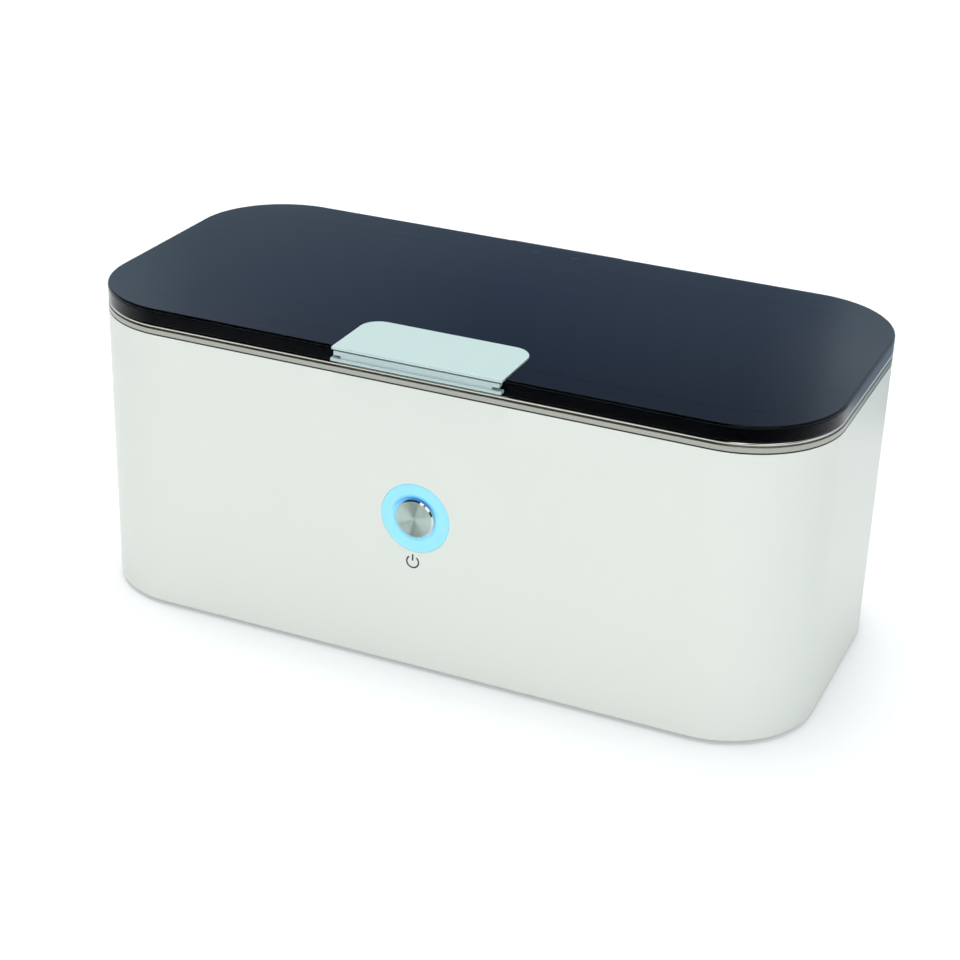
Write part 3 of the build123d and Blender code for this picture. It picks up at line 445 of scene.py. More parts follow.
@dataclass(frozen=True)
class LitResin(Finish):
    """Milky resin lit from behind: it glows a little unevenly, and its inner edge's top is painted a
    deeper, darker blue as painted shade.
    """

    glow: str = "#83b9c4"
    # A darker blue, painted as shade at the top of the inner edge
    shaded_glow: str = "#1f6fb4"
    strength: float = 1.0
    ior: float = 1.58
    centre: Point = BUTTON_CENTRE
    inner_radius: float = 6.1
    # Where the painted shade of deeper blue gives way: past the inner edge, and upwards as shares of its
    # radius
    fade: Span = (-0.2, 0.9)
    rise: Span = (0.1, 0.9)
    patch_size: float = 9.0
    patch_glow: Span = (0.88, 1.08)

    def sockets(self) -> dict:
        """Gives the shader's other plain values."""
        return {"IOR": self.ior}

    def texture(self, draft: Draft) -> None:
        """Draws the glow, with the painted shade of deeper blue at the inner edge's top.

        Args:
            draft: The material so far.
        """
        tree, middle = draft.tree, draft.from_centre(self.centre)
        flat = add_node(
            tree, "ShaderNodeVectorMath", {"operation": "MULTIPLY", 1: (1.0, 0.0, 1.0)}, {0: middle}
        )
        distance = add_node(
            tree, "ShaderNodeVectorMath", {"operation": "LENGTH"}, {0: flat.outputs["Vector"]}
        )
        near, far = (mm(self.inner_radius + step) for step in self.fade)
        across = add_node(
            tree,
            "ShaderNodeMapRange",
            {"From Min": near, "From Max": far},
            {"Value": distance.outputs["Value"]},
        )
        height = add_node(tree, "ShaderNodeSeparateXYZ", links={0: middle})
        low, high = (mm(self.inner_radius * share) for share in self.rise)
        falling = {"From Min": low, "From Max": high, "To Min": 1.0, "To Max": 0.0}
        below = add_node(
            tree,
            "ShaderNodeMapRange",
            {"interpolation_type": "SMOOTHSTEP", **falling},
            {"Value": height.outputs["Z"]},
        )
        pale = add_node(
            tree,
            "ShaderNodeMath",
            {"operation": "MAXIMUM"},
            {0: across.outputs["Result"], 1: below.outputs["Result"]},
        )
        # Painted shade: darker blue at the inner edge's top, the paler glow elsewhere
        colour = add_node(
            tree,
            "ShaderNodeMix",
            {"data_type": "RGBA", 6: linear(self.shaded_glow), 7: linear(self.glow)},
            {0: pale.outputs["Value"]},
        )
        patches = add_node(
            tree,
            "ShaderNodeTexNoise",
            {"Scale": 1 / mm(self.patch_size), "Detail": 1.0},
            {"Vector": draft.place},
        )
        dim, bright = (self.strength * share for share in self.patch_glow)
        uneven = add_node(
            tree,
            "ShaderNodeMapRange",
            {"To Min": dim, "To Max": bright},
            {"Value": patches.outputs["Fac"]},
        )
        tree.links.new(colour.outputs[2], draft.shader.inputs["Emission Color"])
        tree.links.new(uneven.outputs["Result"], draft.shader.inputs["Emission Strength"])


@dataclass(frozen=True)
class DullSkin(Finish):
    """Rubber, foam, fired coating or printed ink: a dull skin whose gloss is faintly patchy."""

    patch_size: float = 3.0
    detail: float = 5.0
    smoother: float = 0.12
    rougher: float = 0.08

    def texture(self, draft: Draft) -> None:
        """Draws the patches of bloom.

        Args:
            draft: The material so far.
        """
        bloom = add_node(
            draft.tree,
            "ShaderNodeTexNoise",
            {"Scale": 1 / mm(self.patch_size), "Detail": self.detail},
            {"Vector": draft.place},
        )
        low, high = self.roughness - self.smoother, self.roughness + self.rougher
        draft.vary_gloss(bloom.outputs["Fac"], low, high)


@dataclass(frozen=True)
class PaintedSteel(Finish):
    """Powder-coated steel: a thick skin with a soft orange-peel ripple."""

    peel_size: float = 0.6
    peel_height: float = 0.01
    relief: float = 0.3
    coat: float = 0.3
    coat_roughness: float = 0.25

    def sockets(self) -> dict:
        """Gives the shader's other plain values."""
        return {"Coat Weight": self.coat, "Coat Roughness": self.coat_roughness}

    def texture(self, draft: Draft) -> None:
        """Draws the ripple.

        Args:
            draft: The material so far.
        """
        peel = add_node(
            draft.tree,
            "ShaderNodeTexNoise",
            {"Scale": 1 / mm(self.peel_size), "Detail": 2.0},
            {"Vector": draft.place},
        )
        draft.emboss(peel.outputs["Fac"], self.peel_height, self.relief)


# The object's own finishes, and what each gives the eye

# Satin white with a trace of green-grey, and soft wide highlights
WHITE_ABS = MouldedPlastic("moulded_white_abs", "#e0e5dd", 0.34)
# Glossy blue-black with the sky on it, and what lies under it only faintly seen
SMOKED = SmokedAcrylic("smoked_acrylic", "#39414a", 0.05, depth=6.0)
# Near black: light goes through the side band the long way, and the band is also painted darker, with a
# dimmer sheen tint, as painted shade
SHADED_SMOKED_BAND = SmokedAcrylic("smoked_acrylic_painted_dark", "#14171b", 0.06, sheen_tint="#2c333d", depth=2.5)
# Warm grey and silky under the bead, which is as bright as a mirror
SATIN_NICKEL = BrushedMetal("satin_nickel_plate", "#a6a79e", 0.32)
BRIGHT_NICKEL = BrushedMetal("polished_nickel_plate", "#c6c4bc", 0.08, streak=0.1, anisotropic=0.0)
# Cool grey with upright streaks, where the press drew the sheet
DRAWN_STEEL = BrushedMetal("drawn_stainless_steel", "#cdd0d2", 0.36, along=Axis.Z)
# Pale blue-green and almost flat, like pearl
PEARL = BrushedMetal(
    "pearl_anodised_aluminium", "#bed4d1", 0.42, streak=0.1, anisotropic=0.0, metallic=0.15
)
# The folded strip is the plate's finish painted darker, as painted shade on its front-facing side
PEARL_SHADED_STRIP = BrushedMetal(
    "pearl_anodised_painted_shade", "#b4c8c7", 0.42, streak=0.1, anisotropic=0.0, metallic=0.15
)
# Light and dark fans that meet in the middle, with a bright turned edge
SPUN = SpunMetal("spun_aluminium", "#d6e6e0", 0.6)
TURNED_EDGE = BrushedMetal("polished_aluminium", "#d5d8d9", 0.1, streak=0.05, anisotropic=0.0)
# Sky blue, as a lit ring, and the plunger that fills its middle, which is painted glowing too. Both carry
# painted shade: a deeper blue at the top of the gap round the cap
GLOW = LitResin("milky_polycarbonate", "#5a9fb6", 0.4)
GLOW_CORE = LitResin("blue_polycarbonate", "#4c93b0", 0.4, glow="#86b9c6", inner_radius=7.0)
# Flat dark grey. Real specks are near 0.02 mm, too fine to show, so they are drawn coarser
INK = DullSkin(
    "pad_printing_ink", "#2b2d2f", 0.5, patch_size=0.15, detail=2.0, smoother=0.05, rougher=0.05
)
# Rubbers and foam: dull greys that hold hardly any highlight
FEET_RUBBER = DullSkin("nitrile_rubber", "#2a2b2c", 0.8)
SILICONE = DullSkin("silicone_rubber", "#c5c6c4", 0.7)
BUMPER_RUBBER = DullSkin("thermoplastic_rubber", "#3b3d3e", 0.75)
FOAM_TAPE = DullSkin("black_foam_tape", "#14181a", 0.9)
# Warm grey and matt, as silver fired on a ceramic disc
SILVERED = DullSkin("silvered_ceramic", "#b8b5aa", 0.4)
# Moulded, dipped and wrapped plastics: plain colours with a soft sheen
BLACK_NYLON = MouldedPlastic("moulded_black_nylon", "#1d1e20", 0.5)
GREY_ABS = MouldedPlastic("moulded_grey_abs", "#c4c6c5", 0.5)
NATURAL_NYLON = MouldedPlastic("natural_nylon", "#e2ddcb", 0.45)
FERRITE = MouldedPlastic("sintered_ferrite", "#2e2e30", 0.6)
YELLOW_TAPE = MouldedPlastic("yellow_polyester_tape", "#c9952f", 0.35)
LAMINATE = MouldedPlastic("green_solder_mask", "#1c5a31", 0.35)
SLEEVE = MouldedPlastic("shrink_sleeve", "#2a2c4c", 0.35)
DIPPED_EPOXY = MouldedPlastic("dipped_epoxy", "#b3571b", 0.3)
WIRE_PVC = MouldedPlastic("soft_pvc", "#8a2a22", 0.45)
CLEAR_EPOXY = MouldedPlastic("clear_epoxy", "#dceaf2", 0.2)
# Plated, turned and anodised metals: greys that brighten along their strokes
ZINC = BrushedMetal("zinc_plated_steel", "#b4b7ba", 0.35, streak=0.2, anisotropic=0.0)
SPRING_WIRE = BrushedMetal("drawn_spring_wire", "#a6a8aa", 0.25, streak=0.2, anisotropic=0.0)
BRASS = BrushedMetal("nickel_plated_brass", "#c9c2ac", 0.25, streak=0.1, anisotropic=0.0)
TURNED_ALUMINIUM = BrushedMetal("turned_aluminium", "#b9bcc0", 0.35, streak=0.2)
BLACK_ANODISED = BrushedMetal("black_anodised_aluminium", "#1c1c1e", 0.45, streak=0.15)
# Black with a soft ripple in its shine
BLACK_STEEL = PaintedSteel("powder_coated_steel", "#17191c", 0.38)
# Clear, with a faint green tint
FUSE_GLASS = SmokedAcrylic("fuse_glass", "#dfe9e4", 0.05, depth=60.0)


# Mesh helpers


def plan_loop(bm: Mesh, inset: float, z: float) -> list[bmesh.types.BMEdge]:
    """Adds the rounded outline as a loop of edges.

    Args:
        bm: The mesh that takes it.
        inset: How far inside the housing's outline it lies, in millimetres.
        z: Its height, in millimetres.

    Returns:
        The loop's edges.
    """
    verts = bmesh.ops.create_grid(bm, x_segments=1, y_segments=1, size=0.5)["verts"]
    scale = (mm(PLAN.length - 2 * inset), mm(PLAN.width - 2 * inset), 1.0)
    bmesh.ops.scale(bm, vec=scale, verts=verts)
    bmesh.ops.translate(bm, vec=(0.0, mm(PLAN.centre_y), mm(z)), verts=verts)
    rounded = round_corners(bm, verts, PLAN.radius - inset, PLAN.segments)
    face = rounded[0].link_faces[0]
    edges = list(face.edges)
    bmesh.ops.delete(bm, geom=[face], context="FACES_ONLY")
    return edges


def round_corners(
    bm: Mesh, verts: list[bmesh.types.BMVert], radius: float, segments: int
) -> list[bmesh.types.BMVert]:
    """Rounds corners of a flat face.

    Args:
        bm: The mesh that holds it.
        verts: The corners.
        radius: Their radius in millimetres.
        segments: How many edges make each rounding.

    Returns:
        The roundings' points.
    """
    rounded = bmesh.ops.bevel(
        bm,
        geom=verts,
        offset=mm(radius),
        offset_type="OFFSET",
        segments=segments,
        profile=0.5,
        affect="VERTICES",
        material=-1,
    )
    return rounded["verts"]


def loft(bm: Mesh, stations: Profile, closed: bool) -> None:
    """Bridges rounded outlines into a wall that follows a profile.

    Args:
        bm: The mesh that takes it.
        stations: The profile's points as inset and height, in millimetres.
        closed: Whether the last point joins the first, as round a ring.
    """
    # Two outlines at one height would bridge mirrored, so they are spread out until they are joined
    spread = 20.0
    loops = [plan_loop(bm, inset, spread * i) for i, (inset, _) in enumerate(stations)]
    pairs = list(zip(loops, loops[1:]))
    if closed:
        pairs.append((loops[-1], loops[0]))
    for first, second in pairs:
        bmesh.ops.bridge_loops(bm, edges=first + second)
    for i, (loop, (_, z)) in enumerate(zip(loops, stations)):
        verts = list({v for edge in loop for v in edge.verts})
        bmesh.ops.translate(bm, vec=(0.0, 0.0, mm(z - spread * i)), verts=verts)


def arc(inset: float, z: float, radius: float, start: float, end: float, steps: int) -> Profile:
    """Gives the points of a rounded profile corner.

    Args:
        inset: The arc's centre, as an inset.
        z: The arc's centre, as a height.
        radius: The arc's radius.
        start: The first angle, in degrees, with 0 pointing outwards and 90 pointing up.
        end: The last angle, in degrees.
        steps: How many points.

    Returns:
        The points as inset and height.
    """
    angles = [math.radians(start + (end - start) * i / (steps - 1)) for i in range(steps)]
    return [(inset - radius * math.cos(a), z + radius * math.sin(a)) for a in angles]


def cap(bm: Mesh, z: float) -> None:
    """Closes the open outline that lies at a height.

    Args:
        bm: The mesh that holds it.
        z: The height in millimetres.
    """
    level = [v for v in bm.verts if abs(v.co.z - mm(z)) < mm(MERGED / 2)]
    edges = [e for e in bm.edges if len(e.link_faces) == 1 and all(v in level for v in e.verts)]
    bmesh.ops.holes_fill(bm, edges=edges, sides=0)


def make_object(name: str, bm: Mesh) -> Piece:
    """Turns a bmesh into an object at the origin, shaded smooth between its sharp edges.

    Args:
        name: The piece's name.
        bm: The finished bmesh, which is freed.

    Returns:
        The new object.
    """
    bmesh.ops.remove_doubles(bm, verts=bm.verts, dist=mm(MERGED))
    bmesh.ops.recalc_face_normals(bm, faces=bm.faces)
    mesh = bpy.data.meshes.new(name)
    bm.to_mesh(mesh)
    bm.free()
    mesh.shade_smooth()
    mesh.set_sharp_from_angle(angle=math.radians(SHARP))
    piece = bpy.data.objects.new(name, mesh)
    bpy.context.scene.collection.objects.link(piece)
    return piece


def weigh_normals(piece: Piece) -> None:
    """Lets large flat faces keep their own normal next to small rounded ones.

    Args:
        piece: The object.
    """
    modifier = piece.modifiers.new("weighted_normals", "WEIGHTED_NORMAL")
    modifier.keep_sharp = True
    modifier.weight = 100


def soften(piece: Piece, width: float, segments: int) -> None:
    """Rounds a piece's sharp edges.

    Args:
        piece: The object.
        width: The rounding's width in millimetres.
        segments: How many faces across it.
    """
    modifier = piece.modifiers.new("soft_edges", "BEVEL")
    modifier.width = mm(width)
    modifier.segments = segments
    modifier.limit_method = "ANGLE"
    modifier.angle_limit = math.radians(ROUNDED)
    modifier.harden_normals = False


def cut(piece: Piece, cutters: list[Piece]) -> None:
    """Cuts shapes out of a piece and removes the shapes.

    Args:
        piece: The object that is cut.
        cutters: Closed objects whose space is taken away.
    """
    for cutter in cutters:
        modifier = piece.modifiers.new("cut", "BOOLEAN")
        modifier.operation = "DIFFERENCE"
        modifier.solver = "EXACT"
        modifier.object = cutter
    graph = bpy.context.evaluated_depsgraph_get()
    carved = bpy.data.meshes.new_from_object(piece.evaluated_get(graph))
    piece.modifiers.clear()
    old = piece.data
    piece.data = carved
    bpy.data.meshes.remove(old)
    carved.name = piece.name
    carved.set_sharp_from_angle(angle=math.radians(SHARP))
    for cutter in cutters:
        bpy.data.objects.remove(cutter)


def turned(name: str, profile: Profile, centre: Point, axis: Axis, steps: int) -> Piece:
    """Makes a turned piece by spinning a profile once round its axis.

    Args:
        name: The piece's name.
        profile: Radius and distance along the axis for each point, in millimetres.
        centre: The point on the axis where the distance is 0, in millimetres.
        axis: The direction of the axis, Y or Z. Along Y, the distance grows to the front.
        steps: How many faces round the axis.

    Returns:
        The new object.
    """
    bm = bmesh.new()
    verts = [bm.verts.new((mm(radius), 0.0, mm(along))) for radius, along in profile]
    edges = [bm.edges.new(pair) for pair in zip(verts, verts[1:])]
    bmesh.ops.spin(
        bm,
        geom=verts + edges,
        cent=ORIGIN,
        axis=(0.0, 0.0, 1.0),
        dvec=ORIGIN,
        angle=math.tau,
        steps=steps,
        use_merge=True,
    )
    if axis is Axis.Y:
        turn = Matrix.Rotation(math.radians(90), 3, "X")
        bmesh.ops.rotate(bm, verts=bm.verts, cent=ORIGIN, matrix=turn)
    bmesh.ops.translate(bm, verts=bm.verts, vec=[mm(value) for value in centre])
    return make_object(name, bm)


def block(name: str, low: Point, high: Point) -> Piece:
    """Makes a rectangular block between two corners.

    Args:
        name: The piece's name.
        low: Its lowest corner, in millimetres.
        high: Its highest corner, in millimetres.

    Returns:
        The new object.
    """
    bm = bmesh.new()
    bmesh.ops.create_cube(bm, size=1.0)
    bmesh.ops.scale(bm, vec=[mm(b - a) for a, b in zip(low, high)], verts=bm.verts)
    bmesh.ops.translate(bm, vec=[mm((a + b) / 2) for a, b in zip(low, high)], verts=bm.verts)
    return make_object(name, bm)


def raise_faces(bm: Mesh, way: Point) -> None:
    """Draws a flat shape out into a solid one.

    Args:
        bm: The mesh that holds the flat shape alone.
        way: How far it goes along each axis, in millimetres.
    """
    raised = bmesh.ops.extrude_face_region(bm, geom=list(bm.faces))
    verts = [v for v in raised["geom"] if isinstance(v, bmesh.types.BMVert)]
    bmesh.ops.translate(bm, vec=[mm(value) for value in way], verts=verts)


def prism(name: str, profile: Profile, half: float) -> Piece:
    """Makes a bar along X with one side profile.

    Args:
        name: The piece's name.
        profile: The side profile's corners as y and z, in millimetres.
        half: Half the bar's length, in millimetres.

    Returns:
        The new object.
    """
    bm = bmesh.new()
    bm.faces.new([bm.verts.new((mm(-half), mm(y), mm(z))) for y, z in profile])
    raise_faces(bm, (2 * half, 0.0, 0.0))
    return make_object(name, bm)


def tongue(name: str, low: Point, high: Point, radius: float, segments: int = 16) -> Piece:
    """Makes a flat plate with two round rear corners.

    Args:
        name: The piece's name.
        low: Its lowest corner, in millimetres.
        high: Its highest corner, in millimetres.
        radius: The rear corners' radius.
        segments: How many edges make each rear corner.

    Returns:
        The new object.
    """
    bm = bmesh.new()
    bmesh.ops.create_grid(bm, x_segments=1, y_segments=1, size=0.5)
    size, middle = [b - a for a, b in zip(low, high)], [(a + b) / 2 for a, b in zip(low, high)]
    bmesh.ops.scale(bm, vec=(mm(size[0]), mm(size[1]), 1.0), verts=bm.verts)
    bmesh.ops.translate(bm, vec=(0.0, mm(middle[1]), mm(low[2])), verts=bm.verts)
    round_corners(bm, [v for v in bm.verts if v.co.y > mm(middle[1])], radius, segments)
    raise_faces(bm, (0.0, 0.0, size[2]))
    return make_object(name, bm)


def dress(piece: Piece, finish: Finish, body: Body) -> Piece:
    """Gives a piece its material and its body.

    Args:
        piece: The object.
        finish: Its finish.
        body: The rigid body that it rides on.

    Returns:
        The same object.
    """
    piece.data.materials.clear()
    piece.data.materials.append(finish.build())
    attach(piece, body.value)
    log.info("%s rides on %s in %s", piece.name, body.value, finish.name)
    return piece


# Sub-assemblies


@dataclass
class Housing:
    """The white moulded housing, with its button hole, its inlet hole and the ledge for the tank."""

    finish: Finish = WHITE_ABS
    bottom: float = 1.0
    top: float = 81.2
    wall: float = 2.5
    base_round: float = 0.6
    rim_round: float = 0.3
    ledge_low: float = 76.3
    ledge_high: float = 78.5
    ledge_inset: float = 10.5
    button_hole: float = 9.7
    button_reach: float = 10.0
    inlet_x: float = -60.0
    inlet_z: float = 22.0
    inlet_hole: Span = (23.3, 10.9)
    inlet_reach: float = 6.0

    def build(self) -> None:
        """Builds the housing and dresses it."""
        stations = arc(self.base_round, self.bottom + self.base_round, self.base_round, -90, 0, steps=8)
        stations += arc(self.rim_round, self.top - self.rim_round, self.rim_round, 0, 90, steps=4)
        stations += [
            (self.wall, self.top),
            (self.wall, self.ledge_high),
            (self.ledge_inset, self.ledge_high),
            (self.ledge_inset, self.ledge_low),
            (self.wall, self.ledge_low),
            (self.wall, self.bottom),
        ]
        bm = bmesh.new()
        loft(bm, stations, closed=True)
        piece = make_object("housing", bm)
        reach = self.button_reach
        profile = [(0.0, reach), (self.button_hole, reach), (self.button_hole, -reach), (0.0, -reach)]
        through = turned("button_hole", profile, BUTTON_CENTRE, Axis.Y, FINE_STEPS)
        half_x, half_z = (side / 2 for side in self.inlet_hole)
        socket = block(
            "inlet_hole",
            (self.inlet_x - half_x, PLAN.rear - self.inlet_reach, self.inlet_z - half_z),
            (self.inlet_x + half_x, PLAN.rear + self.inlet_reach, self.inlet_z + half_z),
        )
        cut(piece, [through, socket])
        weigh_normals(piece)
        dress(piece, self.finish, Body.CLEANER)
        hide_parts("housing_shell")


@dataclass
class TrimBand:
    """The metal band between the housing and the lid: a bright bead over a groove over a satin strip."""

    strip_finish: Finish = SATIN_NICKEL
    bead_finish: Finish = BRIGHT_NICKEL
    bottom: float = 81.4
    top: float = 84.0
    bead: float = 0.9
    groove: float = 0.3
    groove_depth: float = 0.6
    foot_chamfer: float = 0.1
    groove_chamfer: float = 0.12
    deck_chamfer: float = 0.15
    bead_round: float = 0.45
    bead_seat: float = 0.05
    inner_inset: float = 9.5
    lip_inset: float = 3.0
    deck_inset: float = 1.3
    deck_drop: float = 0.04
    foot: float = 80.1

    def build(self) -> None:
        """Builds the strip, which carries the flat deck under the lid, and the bead round it."""
        under_bead = self.top - self.bead
        under_groove = under_bead - self.groove
        seat = under_bead + self.bead_seat
        deck = self.top - self.deck_drop
        strip = [
            (self.lip_inset, self.foot),
            (self.lip_inset, self.bottom),
            (self.foot_chamfer, self.bottom),
            (0.0, self.bottom + self.foot_chamfer),
            (0.0, under_groove - self.groove_chamfer),
            (self.groove_chamfer, under_groove),
            (self.groove_depth, under_groove),
            (self.groove_depth, seat),
            (self.deck_inset, seat),
            (self.deck_inset, deck),
            (self.inner_inset - self.deck_chamfer, deck),
            (self.inner_inset, deck - self.deck_chamfer),
            (self.inner_inset, self.foot),
        ]
        radius = self.bead_round
        bead = [(self.deck_inset, under_bead), (self.deck_inset, self.top)]
        bead += arc(radius, self.top - radius, radius, 90, 0, steps=9)
        bead += arc(radius, under_bead + radius, radius, -10, -90, steps=6)
        for name, stations, finish in (
            ("trim_strip", strip, self.strip_finish),
            ("trim_bead", bead, self.bead_finish),
        ):
            bm = bmesh.new()
            loft(bm, stations, closed=True)
            piece = make_object(name, bm)
            weigh_normals(piece)
            dress(piece, finish, Body.CLEANER)
            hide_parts("trim_ring")


@dataclass
class SeamShadeStrip:
    """A thin black strip put in the seam between the housing's rim and the metal band, as painted shade
    that shows as a dark line.
    """

    finish: Finish = FEET_RUBBER
    bottom: float = 81.02
    top: float = 81.42
    outer_inset: float = 0.05
    inner_inset: float = 2.4

    def build(self) -> None:
        """Builds the black strip of painted shade and dresses it."""
        stations = [(self.outer_inset, z) for z in (self.bottom, self.top)]
        stations += [(self.inner_inset, z) for z in (self.top, self.bottom)]
        bm = bmesh.new()
        loft(bm, stations, closed=True)
        dress(make_object("seam_shade_strip", bm), self.finish, Body.CLEANER)


@dataclass
class Tank:
    """The drawn stainless tank under the lid."""

    finish: Finish = DRAWN_STEEL
    inset: float = 13.6
    sheet: float = 0.8
    floor: float = 32.0
    flange_top: float = 80.1
    flange_inset: float = 3.4
    base_radius: float = 8.0
    rim_radius: float = 1.8

    def build(self) -> None:
        """Builds the bowl's inside and outside and dresses it."""
        inner = self.inset + self.sheet
        inner_radius = self.base_radius - self.sheet
        inner_floor = self.floor + self.sheet
        under_flange = self.flange_top - self.sheet
        inside = [(self.flange_inset, under_flange), (self.flange_inset, self.flange_top)]
        rim = self.rim_radius
        inside += arc(inner - rim, self.flange_top - rim, rim, 90, 180, steps=8)
        inside += arc(inner + inner_radius, inner_floor + inner_radius, inner_radius, 0, -90, steps=12)
        outside = [(self.flange_inset, under_flange), (self.inset, under_flange)]
        base = self.base_radius
        outside += arc(self.inset + base, self.floor + base, base, 0, -90, steps=8)
        bm = bmesh.new()
        for stations, floor in ((inside, inner_floor), (outside, self.floor)):
            loft(bm, stations, closed=False)
            cap(bm, floor)
        piece = make_object("tank_bowl", bm)
        weigh_normals(piece)
        dress(piece, self.finish, Body.CLEANER)
        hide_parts("tank")


@dataclass
class Lid:
    """The smoke-tinted lid: a top plate with a locating skirt, set in a side band painted darker as shade.
    """

    top_finish: Finish = SMOKED
    # The side band's finish is the top's acrylic painted darker as shade
    band_finish: Finish = SHADED_SMOKED_BAND
    bottom: float = 84.2
    top: float = 88.4
    ceiling: float = 85.8
    band: float = 2.2
    edge_round: float = 0.6
    foot_round: float = 0.3
    skirt_inset: float = 10.0
    skirt_thick: float = 1.5
    skirt_bottom: float = 82.0
    front_reach: float = 4.0
    top_reach: float = 2.0
    recess_half: float = 23.6
    recess_floor: float = 87.7
    recess_rear: float = 20.2
    recess_radius: float = 5.7
    pocket_half: float = 22.95
    pocket_floor: float = 86.9
    pocket_depth: float = 9.7
    pocket_rise: float = 0.2
    stud_x: float = 14.0
    stud_inset: float = 6.0
    stud_hole: float = 2.1
    notch_half: float = 10.1
    notch_behind: float = 0.4
    hairline_top: float = 87.65
    hairline: float = 0.15
    hairline_depth: float = 0.3
    band_gap: float = 0.02
    band_chamfer: float = 0.08
    seams: tuple[float, ...] = (-60.0, -30.0, 30.0, 60.0)

    def build(self) -> None:
        """Builds the top plate and the side band and dresses them."""
        for name, bm, cutters, finish in (
            ("lid_cover", self.draw_top(), self.top_cutters, self.top_finish),
            ("lid_band", self.draw_band(), self.band_cutters, self.band_finish),
        ):
            self.part_at_seams(bm)
            piece = make_object(name, bm)
            cut(piece, cutters())
            weigh_normals(piece)
            dress(piece, finish, Body.LID)
            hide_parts("lid")

    def part_at_seams(self, bm: Mesh) -> None:
        """Divides the long straight runs, so that their shading stays even.

        Args:
            bm: The mesh that is divided.
        """
        for x in self.seams:
            geom = list(bm.verts) + list(bm.edges) + list(bm.faces)
            bmesh.ops.bisect_plane(bm, geom=geom, plane_co=(mm(x), 0.0, 0.0), plane_no=(1.0, 0.0, 0.0))

    def draw_top(self) -> Mesh:
        """Draws the top plate with its skirt.

        Returns:
            Its mesh.
        """
        skirt_inner = self.skirt_inset + self.skirt_thick
        inside = self.band + self.band_gap
        seat = self.hairline_top - self.hairline + self.band_gap
        stations = [
            (skirt_inner, self.ceiling),
            (skirt_inner, self.skirt_bottom),
            (self.skirt_inset, self.skirt_bottom),
            (self.skirt_inset, self.ceiling),
            (inside, self.ceiling),
            (inside, seat),
            (self.hairline_depth, seat),
            (self.hairline_depth, self.hairline_top),
            (0.0, self.hairline_top),
        ]
        stations += arc(self.edge_round, self.top - self.edge_round, self.edge_round, 0, 90, steps=7)
        bm = bmesh.new()
        loft(bm, stations, closed=False)
        cap(bm, self.ceiling)
        cap(bm, self.top)
        return bm

    def draw_band(self) -> Mesh:
        """Draws the side band that the top plate sits on.

        Returns:
            Its mesh.
        """
        seat = self.hairline_top - self.hairline
        stations = arc(self.foot_round, self.bottom + self.foot_round, self.foot_round, -90, 0, steps=4)
        stations += [
            (0.0, seat - self.band_chamfer),
            (self.band_chamfer, seat),
            (self.band, seat),
            (self.band, self.bottom),
        ]
        bm = bmesh.new()
        loft(bm, stations, closed=True)
        return bm

    def grip_pocket(self) -> Piece:
        """Makes the shape that clears the handle's folded strip.

        Returns:
            The cutting shape.
        """
        return block(
            "grip_pocket",
            (-self.pocket_half, PLAN.front - self.front_reach, self.pocket_floor),
            (self.pocket_half, PLAN.front + self.pocket_depth, self.recess_floor + self.pocket_rise),
        )

    def top_cutters(self) -> list[Piece]:
        """Makes the shapes of the handle's recess, its pocket and its two stud holes.

        Returns:
            The cutting shapes.
        """
        recess = tongue(
            "plate_recess",
            (-self.recess_half, PLAN.front - self.front_reach, self.recess_floor),
            (self.recess_half, PLAN.front + self.recess_rear, self.top + self.top_reach),
            self.recess_radius,
        )
        low = self.ceiling - PAST
        stud = [(0.0, low), (self.stud_hole, low), (self.stud_hole, self.top), (0.0, self.top)]
        studs = [
            turned("stud_hole", stud, (x, PLAN.front + self.stud_inset, 0.0), Axis.Z, PLAIN_STEPS)
            for x in (-self.stud_x, self.stud_x)
        ]
        return [recess, self.grip_pocket(), *studs]

    def band_cutters(self) -> list[Piece]:
        """Makes the shapes of the handle's pocket and the hinge's notch.

        Returns:
            The cutting shapes.
        """
        notch = block(
            "hinge_notch",
            (-self.notch_half, PLAN.rear - self.band - self.notch_behind, self.bottom - PAST),
            (self.notch_half, PLAN.rear + PAST, self.ceiling),
        )
        return [self.grip_pocket(), notch]


